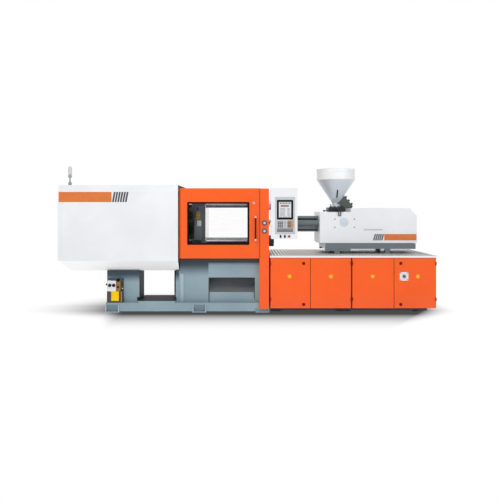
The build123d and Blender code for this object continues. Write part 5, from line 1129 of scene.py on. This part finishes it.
@dataclass
class Posts(Assembly):
    """The orange posts, the gates' frame and the two push buttons of the front post."""

    face_y: float = -650.0
    button_x: float = 246.0
    button_z: Span = (1141.0, 1253.0)
    cap_out: float = 13.0
    seam_x: float = 180.5
    seam_z: float = 1247.5

    def build(self) -> None:
        """Dresses the posts, rings the buttons and gives them a lighter middle."""
        self.dress(Palette.post, "front_post", "rear_post")
        self.dress(Palette.gate_grey, "gate_frame")
        self.dress(Palette.key_grey, "post_button_upper", "post_button_lower")
        bezel = hollow([(36.5, -0.5), (36.5, 6.0), (34.5, 8.8), (28, 9.6), (25.6, 9.0), (25.6, -0.5)], 48)
        cap = lathe([(17, -0.2), (17, 0.8), (15.5, 1.4), (1, 1.6)])
        for name, z in zip(("lower", "upper"), self.button_z):
            self.piece("post_bezel_" + name, bezel.placed((self.button_x, self.face_y, z)), Palette.key_dark)
            self.piece("post_button_" + name + "_cap", cap.placed((self.button_x, self.face_y - self.cap_out, z)),
                       Palette.keypad, "post_button_" + name)
        seam = plate(8.0, 985.0, 0.9, 1.0, 0.3).placed((self.seam_x, self.face_y + 0.3, self.seam_z))
        self.piece("post_seam_strip", seam, Palette.seam_red)


@dataclass
class ControlPanel(Assembly):
    """The white panel box with its key field, bezel, screen and keys."""

    body: str = "control_panel"
    face_y: float = -650.0
    field_x: float = 532.0
    field_z: float = 1358.0
    field_size: Span = (280.0, 518.0)
    rim: float = 16.0
    bezel_z: float = 1438.5
    bezel_size: Span = (226.0, 273.0)
    screen_margin: float = 27.0
    key_top: float = 1266.0
    key_pitch: float = 23.0
    button_spots: tuple[Point, ...] = ((470, -650, 1065), (530, -650, 1065), (590, -650, 1065))

    def build(self) -> None:
        """Dresses the box and builds the panel's face on it."""
        self.dress(Palette.white, "control_panel")
        self.dress(Palette.black, "panel_button_left", "panel_button_middle")
        self.dress(Palette.button_brown, "panel_button_right")
        self.face()
        self.screen()
        self.keys()
        self.buttons()

    def mount(self, name: str, shape: Shape, finish: Finish, z: float = 0.0, out: float = 0.0) -> None:
        """Makes a piece that stands on the panel's middle line, at a height and further out from its face."""
        self.piece("panel_" + name, shape.placed((self.field_x, self.face_y - out, z)), finish)

    def face(self) -> None:
        """The key field's film and the dark bezel round the screen."""
        rim, margin = self.rim, self.screen_margin
        outline = surround(*self.field_size, 9.0, [(0.0, 0.0), (0.0, 3.2), (-1.5, 4.2), (-rim, 4.2), (-rim, 2.1),
                                                   (-2.0, 0.0)])
        self.mount("field_rim", outline, Palette.keypad, self.field_z)
        width, height = np.array(self.field_size) - 2 * rim + 2
        self.mount("field", plate(width, height, 3.0, 3.0, 0.4), Palette.keypad, self.field_z)
        profile = [(1.0, 0.0), (1.0, 6.0), (-1.0, 7.6), (3.0 - margin, 7.2), (-margin, 4.4), (-margin, 1.5)]
        self.mount("bezel", surround(*self.bezel_size, 8.0, profile, 4), Palette.bezel, self.bezel_z)

    def screen(self) -> None:
        """A pale lit screen with plain blocks, bars and a band on it."""
        width, height = np.array(self.bezel_size) - 2 * self.screen_margin + 4
        self.mount("screen", plate(width, height, 3.4, 2.0, 0.4), Palette.screen, self.bezel_z)
        rows = range(-84, 22, 17)
        bars = ((30, 15, (-60, -20, 20, 60), [92]), (70, 5, [-34], rows), (34, 5, [50], rows),
                (16, 8, range(-66, 67, 22), [-104]))
        marks = together(*[plate(wide, tall, 0.5, 1.0, 0.2).tiled(product(across, up, [0]))
                           for wide, tall, across, up in bars])
        self.mount("screen_marks", marks, Palette.screen_mark, self.bezel_z, 3.2)
        band = plate(116, 28, 0.5, 2.0, 0.2).tiled([(-4, 54, 0)])
        self.mount("screen_band", band, Palette.screen_band, self.bezel_z, 3.2)

    def keys(self) -> None:
        """Rows of square keys under the screen, a pale middle lever and an amber block."""
        key, out = plate(21, 17, 3.6, 3.0, 1.2), 2.6
        heights = [self.key_top - self.key_pitch * row for row in range(4)]
        for name, columns, finish in (("left", (-92, -66, -40), Palette.key_grey),
                                      ("right", (44, 70), Palette.key_dark), ("amber", (96,), Palette.key_amber)):
            self.mount("keys_" + name, key.tiled(product(columns, heights, [0])), finish, out=out)
        lever = together(plate(13, 88, 4.5, 4, 1.5).tiled([(0, 1231, 0)]),
                         plate(34, 15, 5.0, 5, 1.5).tiled([(0, 1262, 0)]))
        self.mount("middle_key", lever, Palette.key_pale, out=out)
        self.mount("tan_backing", plate(95, 104, 1.2, 3.0, 0.4).tiled([(90, 1238, 0)]), Palette.tan, out=out)
        small = product(range(-98, 99, 28), (1135, 1152, 1169), [0])
        self.mount("keys_small", plate(24, 12, 3.0, 2.0, 1.0).tiled(small), Palette.key_small, out=out)

    def buttons(self) -> None:
        """A collar round each of the three buttons, and a black lobe above and below the first two."""
        pair, last = self.button_spots[:2], self.button_spots[2:]
        thin = hollow([(13.8, -0.3), (13.8, 2.4), (13.2, 3.0), (12.8, 3.0), (12.4, 2.2), (12.4, -0.3)], 32)
        self.piece("panel_button_collars", thin.repeated(pair), Palette.black)
        broad = hollow([(18.5, -0.3), (18.5, 2.6), (17.0, 4.0), (13.4, 4.0), (12.4, 3.0), (12.4, -0.3)], 32)
        self.piece("panel_button_amber_collar", broad.repeated(last), Palette.amber)
        lobes = plate(23, 9, 3.0, 4.0, 1.0).repeated([(0, SUNK, -17.4), (0, SUNK, 17.4)])
        self.piece("panel_button_lobes", lobes.tiled(pair), Palette.black)


@dataclass
class Bed(Assembly):
    """The welded bed, the product chute, the platens, tie bars and toggle links."""

    leg_y: float = -540.0
    rib_y: float = -350.0
    tie_end_x: float = 387.0
    tie_y: Span = (-266.0, 266.0)
    tie_z: Span = (974.0, 1506.0)

    def build(self) -> None:
        """Dresses the castings and adds the bed's pale strip, the grease block and the tie bars' end caps."""
        links = [f"{kind}_link_{side}" for kind in ("rear", "front", "crosshead") for side in ("upper", "lower")]
        self.dress(Palette.bed, "clamp_bed")
        self.dress(Palette.chute, "product_chute")
        self.dress(Palette.casting, "tail_platen", "stationary_platen")
        self.dress(Palette.platen, "moving_platen")
        self.dress(Palette.link_casting, *links[:4])
        self.dress(Palette.ground, "crosshead", *links[4:], "ejector")
        self.dress(Palette.blackened, "clamp_cylinder")
        self.dress(Palette.nut_paint, "tie_bar_nuts")
        self.dress(Palette.plated, "tie_bars")
        strip = plate(48, 402, 11.5, 2.0, 1.0).placed((-922, self.leg_y, 332))
        self.piece("bed_pale_strip", strip, Palette.pale_bed)
        self.oil_block()
        end = lathe([(30, -1), (30, 6), (27, 9), (12, 9), (10, 5), (1, 5)])
        spots = product([self.tie_end_x], self.tie_y, self.tie_z)
        self.piece("tie_bar_end_caps", end.repeated(spots, Facing.RIGHT), Palette.ground)

    def oil_block(self) -> None:
        """A cover on the side rib of the moving platen, with a grease block, its cap and a bare plate."""
        body, face = "moving_platen", self.rib_y - 17.6
        cover = prism([(-655, 998), (-655, 1488), (-757, 1488), (-767, 998)], 18.4, 2.0)
        self.piece("platen_side_cover", cover.placed((0, self.rib_y + SUNK, 0)), Palette.side_cover, body)
        block = plate(64, 118, 24, 4, 2).placed((-709, face, 1358))
        outlet = lathe([(9, 22), (9, 34), (7, 36), (4, 40)], 18)
        row = outlet.repeated(product((-729, -709, -689), [face], (1330, 1386)))
        self.piece("platen_grease_block", together(block, row), Palette.dim_brass, body)
        cap = lathe([(22, -0.4), (22, 22), (19, 28), (3, 30)], 28).placed((-714, face, 1450))
        self.piece("platen_grease_cap", cap, Palette.cap_blue, body)
        bare = plate(60, 80, 2.0, 5, 0.8).placed((-692, face, 1242))
        self.piece("platen_bare_plate", bare, Palette.keypad, body)


@dataclass
class LubeUnit(Assembly):
    """The small central lubrication unit on the bed's front rail."""

    front_y: float = -616.0
    back_y: float = -550.0

    def build(self) -> None:
        """Dresses the block and builds its head, knobs, tank, column, strips and fitting."""
        self.dress(Palette.pump_grey, "lube_unit")
        back, skin = self.back_y, self.front_y + SUNK
        self.piece("lube_head", plate(120, 150, 68, 8, 4).placed((-1904, back, 366)), Palette.white_plastic)
        knob = lathe([(20, 0), (20, 56), (23, 58), (23, 76), (20, 80), (4, 81)], 20)
        stub = lathe([(12, -4), (12, 14), (14, 16), (14, 26), (11, 29), (1, 30)], 16)
        knobs = together(stub.placed((-1964, -584, 385), Facing.LEFT),
                         knob.repeated([(-1929, back, 376), (-1874, back, 376)]))
        self.piece("lube_knobs", knobs, Palette.black)
        rings = nested(113, 67, 9, [0.0, 0.8, 0.8, 0.0, 0.0, 0.8, 0.8, 0.0, 0.0, -2.0],
                       [158, 160, 196, 198, 202, 204, 244, 246, 286, 290])
        tank = shell(rings).placed((-1856, -583, 0), Facing.TOP)
        self.piece("lube_tank_moulding", tank, Palette.tank, replaced="lube_tank")
        self.piece("lube_column", plate(62, 150, 67.4, 8, 4).placed((-1812, back, 366)), Palette.ochre_brown)
        cap = plate(46, 40, 70, 12, 4).placed((-1812, back, 446))
        boss = lathe([(15, 60), (15, 72), (12, 75), (2, 76)], 24).placed((-1814, back, 352))
        self.piece("lube_column_cap", together(cap, boss), Palette.rubber)
        self.piece("lube_brown_strip", plate(24, 126, 1.6, 2, 0.5).placed((-1786, skin, 222)), Palette.rust)
        self.piece("lube_ochre_strip", plate(9, 150, 1.6, 2, 0.5).placed((-1768, skin, 215)), Palette.ochre)
        fitting = lathe([(8, 0), (8, 30), (6, 33), (1, 34)], 16).placed((-1762, back, 325))
        self.piece("lube_fitting", fitting, Palette.white_plastic)


@dataclass
class Cabinet(Assembly):
    """The base cabinet: doors, hinges, latches, main switch, deck and what stands inside."""

    face_y: float = -650.0
    hinge_y: float = -657.0
    hinge_x: tuple[float, ...] = (328.0, 1457.0, 1475.0, 2646.0)
    disc_x: tuple[float, ...] = (596.0, 1175.0, 1760.0, 2393.0)
    disc_z: float = 505.0
    hinge_z: Span = (184.3, 684.3)
    latch_x: Span = (794.0, 2153.0)
    latch_z: Span = (113.0, 687.0)
    switch: Point = (2199.0, -650.0, 506.0)
    mark_radius: float = 39.0

    def build(self) -> None:
        """Dresses the cabinet and builds the small parts of its doors."""
        doors = [f"door_{number}" for number in range(1, 5)]
        self.dress(Palette.plinth_grey, "base_frame")
        self.dress(Palette.door, *doors)
        self.dress(Palette.dark_red, "latch_upper_1", "latch_lower_1", "latch_upper_4", "latch_lower_4")
        self.dress(Palette.knob_grey, "main_switch")
        self.dress(Palette.tread, "table_deck")
        self.dress(Palette.motor, "power_unit")
        self.dress(Palette.sheet, "switchgear")
        cover = lathe([(5, 0.6), (8.2, 1.4), (8.2, 22.0), (6.0, 23.6)], 24)
        disc = lathe([(27, -0.4), (27, 0.8), (25.5, 1.5), (2, 1.6)], 36)
        for door, hinge, middle in zip(doors, self.hinge_x, self.disc_x):
            spots = product([hinge], [self.hinge_y], self.hinge_z)
            self.piece(door + "_hinge_covers", cover.repeated(spots, Facing.TOP), Palette.dark_red, door)
            self.piece(door + "_yellow_disc", disc.placed((middle, self.face_y, self.disc_z)), Palette.yellow, door)
        ring = hollow([(15.6, -0.3), (22.0, -0.3), (22.0, 1.6), (20.5, 2.6), (16.4, 2.6), (15.6, 1.8)], 32)
        for door, x in zip(("door_1", "door_4"), self.latch_x):
            pair = ring.repeated(product([x], [self.face_y], self.latch_z))
            self.piece(door + "_latch_rings", pair, Palette.dark_red, door)
        self.switch_plate()

    def switch_plate(self) -> None:
        """A pale plate and a collar round the main switch, with a ring of short marks."""
        door = "door_4"
        rim = surround(118, 118, 8, [(0.6, 0.0), (0.6, 4.6), (-0.6, 5.4), (-19.0, 5.4), (-19.0, 4.0), (-3.0, 3.9),
                                     (-3.0, 0.0)])
        self.piece("switch_plate", rim.placed(self.switch), Palette.white_plastic, door)
        collar = hollow([(23.2, 0.0), (56.5, 0.0), (56.5, 3.8), (55.0, 4.8), (24.6, 4.8), (23.2, 3.6)], 48)
        self.piece("switch_collar", collar.placed(self.switch), Palette.white_plastic, door)
        tick = plate(2.4, 8.0, 0.7, 1.0, 0.3).tiled([(0, self.mark_radius, 5.2)])
        ticks = [tick.placed((0, 0, 0), [[math.cos(a), -math.sin(a), 0], [math.sin(a), math.cos(a), 0], [0, 0, 1]])
                 for a in np.radians(np.arange(0, 360, 45))]
        self.piece("switch_marks", together(*ticks).placed(self.switch), Palette.stripe, door)


@dataclass
class InjectionUnit(Assembly):
    """Rails, carriage, barrel, guard and the white injection cover."""

    body: str = "injection_unit"
    cover_y: float = -350.0
    plate_across: Span = (1994.0, 2462.0)
    plate_height: Span = (995.0, 1087.0)
    stripes: Stripes = Stripes(1830.0, (995.0, 1087.0), 23.0, 24.0, 29.0, 5)
    front_screws: tuple[Point, Point] = ((1277, 1560), (1184, 1303))
    rear_screws: tuple[Point, Point] = ((1130, 1560, 2000, 2420), (1000, 1330))
    end_x: float = 1059.0
    end_side: float = 348.0
    end_heights: tuple[float, ...] = (957.0, 1114.0, 1199.0, 1287.0, 1349.0, 1404.0)
    guard_gap: float = 151.0
    cylinder_gap: float = 238.5
    guard_face: float = -149.8

    def build(self) -> None:
        """Dresses the unit and builds what is on the cover and on the guard."""
        self.dress(Palette.frame_grey, "injection_rails", "injection_carriage")
        self.dress(Palette.ground, "barrel", "nozzle", "screw")
        self.dress(Palette.blackened, "screw_drive")
        self.dress(Palette.mica, "heater_bands")
        self.dress(Palette.guard, "barrel_guard")
        self.dress(Palette.white, "injection_cover")
        (left, right), (low, high) = self.plate_across, self.plate_height
        film = plate(right - left, high - low, 1.4, 3.0, 0.5)
        middle = ((left + right) / 2, self.cover_y + SUNK, (low + high) / 2)
        self.piece("injection_plain_plate", film.placed(middle), Palette.plate)
        self.piece("injection_stripes", self.stripes.shape(self.cover_y), Palette.pale_stripe)
        screw = screw_head(4.5, 18)
        front = product(self.front_screws[0], [self.cover_y], self.front_screws[1])
        self.piece("injection_cover_screws", screw.repeated(front), Palette.stripe)
        rear = product(self.rear_screws[0], [-self.cover_y], self.rear_screws[1])
        self.piece("injection_rear_screws", screw.repeated(rear, Facing.BACK), Palette.silver)
        disc = lathe([(66, -0.4), (66, 0.9), (64, 1.4), (2, 1.5)], 48)
        self.piece("injection_pale_disc", disc.placed((1410, self.cover_y, 1258)), Palette.pale_blue)
        self.end_sheet()
        lining = plate(300, 40, 3.0, 4, 0.5).placed((1834, self.cover_y + 6.0, 1149))
        self.piece("injection_slot_lining", lining, Palette.keypad)
        self.guard_trim()

    def end_sheet(self) -> None:
        """The cover's white left end in strips round its cut-outs for the guard and the two pull cylinders."""
        side, heights = self.end_side, self.end_heights
        strips = [((-side, side), heights[4:]), ((-side, side), heights[:2])]
        for inner, span in ((self.guard_gap, heights[3:5]), (self.guard_gap, heights[1:3]),
                            (self.cylinder_gap, heights[2:4])):
            strips += [((-side, -inner), span), ((inner, side), span)]
        sheet = together(*[box_prism(across, span, 2.6) for across, span in strips])
        self.piece("injection_cover_end", sheet.placed((self.end_x, 0, 0), Facing.RIGHT), Palette.end_white)

    def guard_trim(self) -> None:
        """A dark strap along the middle of the barrel guard, a dark edge below it and a blue terminal box."""
        for name, slab, x, z, finish in (("strap", plate(470, 57, 5.0, 4, 1.5), 806, 1287, Palette.blackened),
                                         ("edge", plate(488, 24, 4.0, 3, 1.2), 808, 1142, Palette.blackened),
                                         ("terminal_box", plate(84, 60, 10.0, 6, 2), 788, 1222, Palette.cap_blue)):
            self.piece("guard_" + name, slab.placed((x, self.guard_face, z)), finish)


@dataclass
class Hopper(Assembly):
    """The hopper, its loose lid, base, shutter and drain chute."""

    body: str = "injection_unit"
    x: float = 1343.0
    radius: float = 284.0
    beads: tuple[tuple[str, float, float], ...] = (("upper", 2004, 3.2), ("lower", 1892, 4.6))
    flange_top: float = 1482.0
    stud_circle: float = 82.0
    sight: tuple[Point, Point] = ((-106.8, 1623.0), (-181.8, 1736.0))
    drain: tuple[Point, Point] = ((1456.0, 1643.0), (1586.0, 1486.0))

    def build(self) -> None:
        """Dresses the hopper and adds its bead rings, studs, sight strip and the drain's knobs and frame."""
        self.dress(Palette.hopper_steel, "hopper")
        self.dress(Palette.drum_steel, "hopper_lid")
        self.dress(Palette.blackened, "hopper_base", "shutoff_slide")
        half_round, foot = around(np.linspace(-math.pi / 2, math.pi / 2, 7)), self.radius - 0.6
        for name, z, reach in self.beads:
            bead = hollow([(foot, z - 5.5), *(half_round * [reach, 5.5] + [self.radius, z]), (foot, z + 5.5)], 96)
            self.piece(f"hopper_{name}_bead", bead.placed((self.x, 0, 0), Facing.TOP), Palette.drum_steel)
        self.flange_bolts()
        self.sight_strip()
        self.drain_cover()

    def flange_bolts(self) -> None:
        """Eight studs with nuts on the flange round the neck."""
        stud = lathe([(7.5, -0.5), (7.5, 44), (6, 46), (1, 46)], 16)
        nut = lathe([(13, -0.5), (13, 11), (11, 12.5), (1, 12.5)], 6)
        circle = around(np.radians(np.arange(22.5, 360, 45))) * self.stud_circle + [self.x, 0]
        spots = lifted(circle[None], [self.flange_top])[0]
        self.piece("hopper_flange_studs", stud.tiled(spots), Palette.silver)
        self.piece("hopper_flange_nuts", nut.tiled(spots), Palette.blackened)

    @staticmethod
    def sloped(ends: tuple[Point, Point]) -> tuple[np.ndarray, float, Point]:
        """Measures a slope.

        Args:
            ends: Its two ends.

        Returns:
            Its middle, its length and its unit direction.
        """
        low, high = np.array(ends)
        length = float(np.linalg.norm(high - low))
        return (low + high) / 2, length, (high - low) / length

    def sight_strip(self) -> None:
        """A dark sight strip that lies in the cone's front slot and follows its slope."""
        (y, z), length, along = self.sloped(self.sight)
        strip = plate(19.0, length - 1, 5.0, 5.0, 1.2)
        basis = np.array([(1, 0, 0), (0, along[0], along[1]), (0, -along[1], along[0])])
        self.piece("hopper_sight_strip", strip.placed((self.x, y + 3.0, z - 2.0), basis), Palette.rubber)

    def drain_cover(self) -> None:
        """Dark knobs and a dark frame on the drain chute's cover."""
        (x, z), length, along = self.sloped(self.drain)
        basis = np.array([(along[0], 0, along[1]), (0, 1, 0), (-along[1], 0, along[0])])
        knob = lathe([(12.5, 7.5), (12.5, 26), (15, 28), (15, 36), (11, 40), (3, 41)], 20)
        knobs = knob.tiled([(length / 3 * k, 0, 0) for k in (-1, 0, 1)])
        self.piece("drain_knobs", knobs.placed((x, 0, z), basis), Palette.black)
        rim = surround(length, 118, 8, [(0.5, 0.0), (0.5, 9.0), (-1, 10.5), (-13, 10.5), (-14, 8.0), (-14, 7.5),
                                        (-0.5, 7.5), (-0.5, 0.0)])
        self.piece("drain_frame", rim.placed((x, 0, z), basis), Palette.blackened)


def main() -> None:
    """Builds every sub-assembly in order."""
    logging.basicConfig(level=logging.INFO, format="%(message)s")
    rear = Gate(body="rear_gate", paint=Palette.inner_shade_orange, facing=Facing.BACK, side=1, replaced="")
    for assembly in (Studio(), ClampCover(), Gate(), rear, Posts(), ControlPanel(), Bed(), LubeUnit(), Cabinet(),
                     InjectionUnit(), Hopper()):
        assembly.report()


if __name__ == "__main__":
    main()
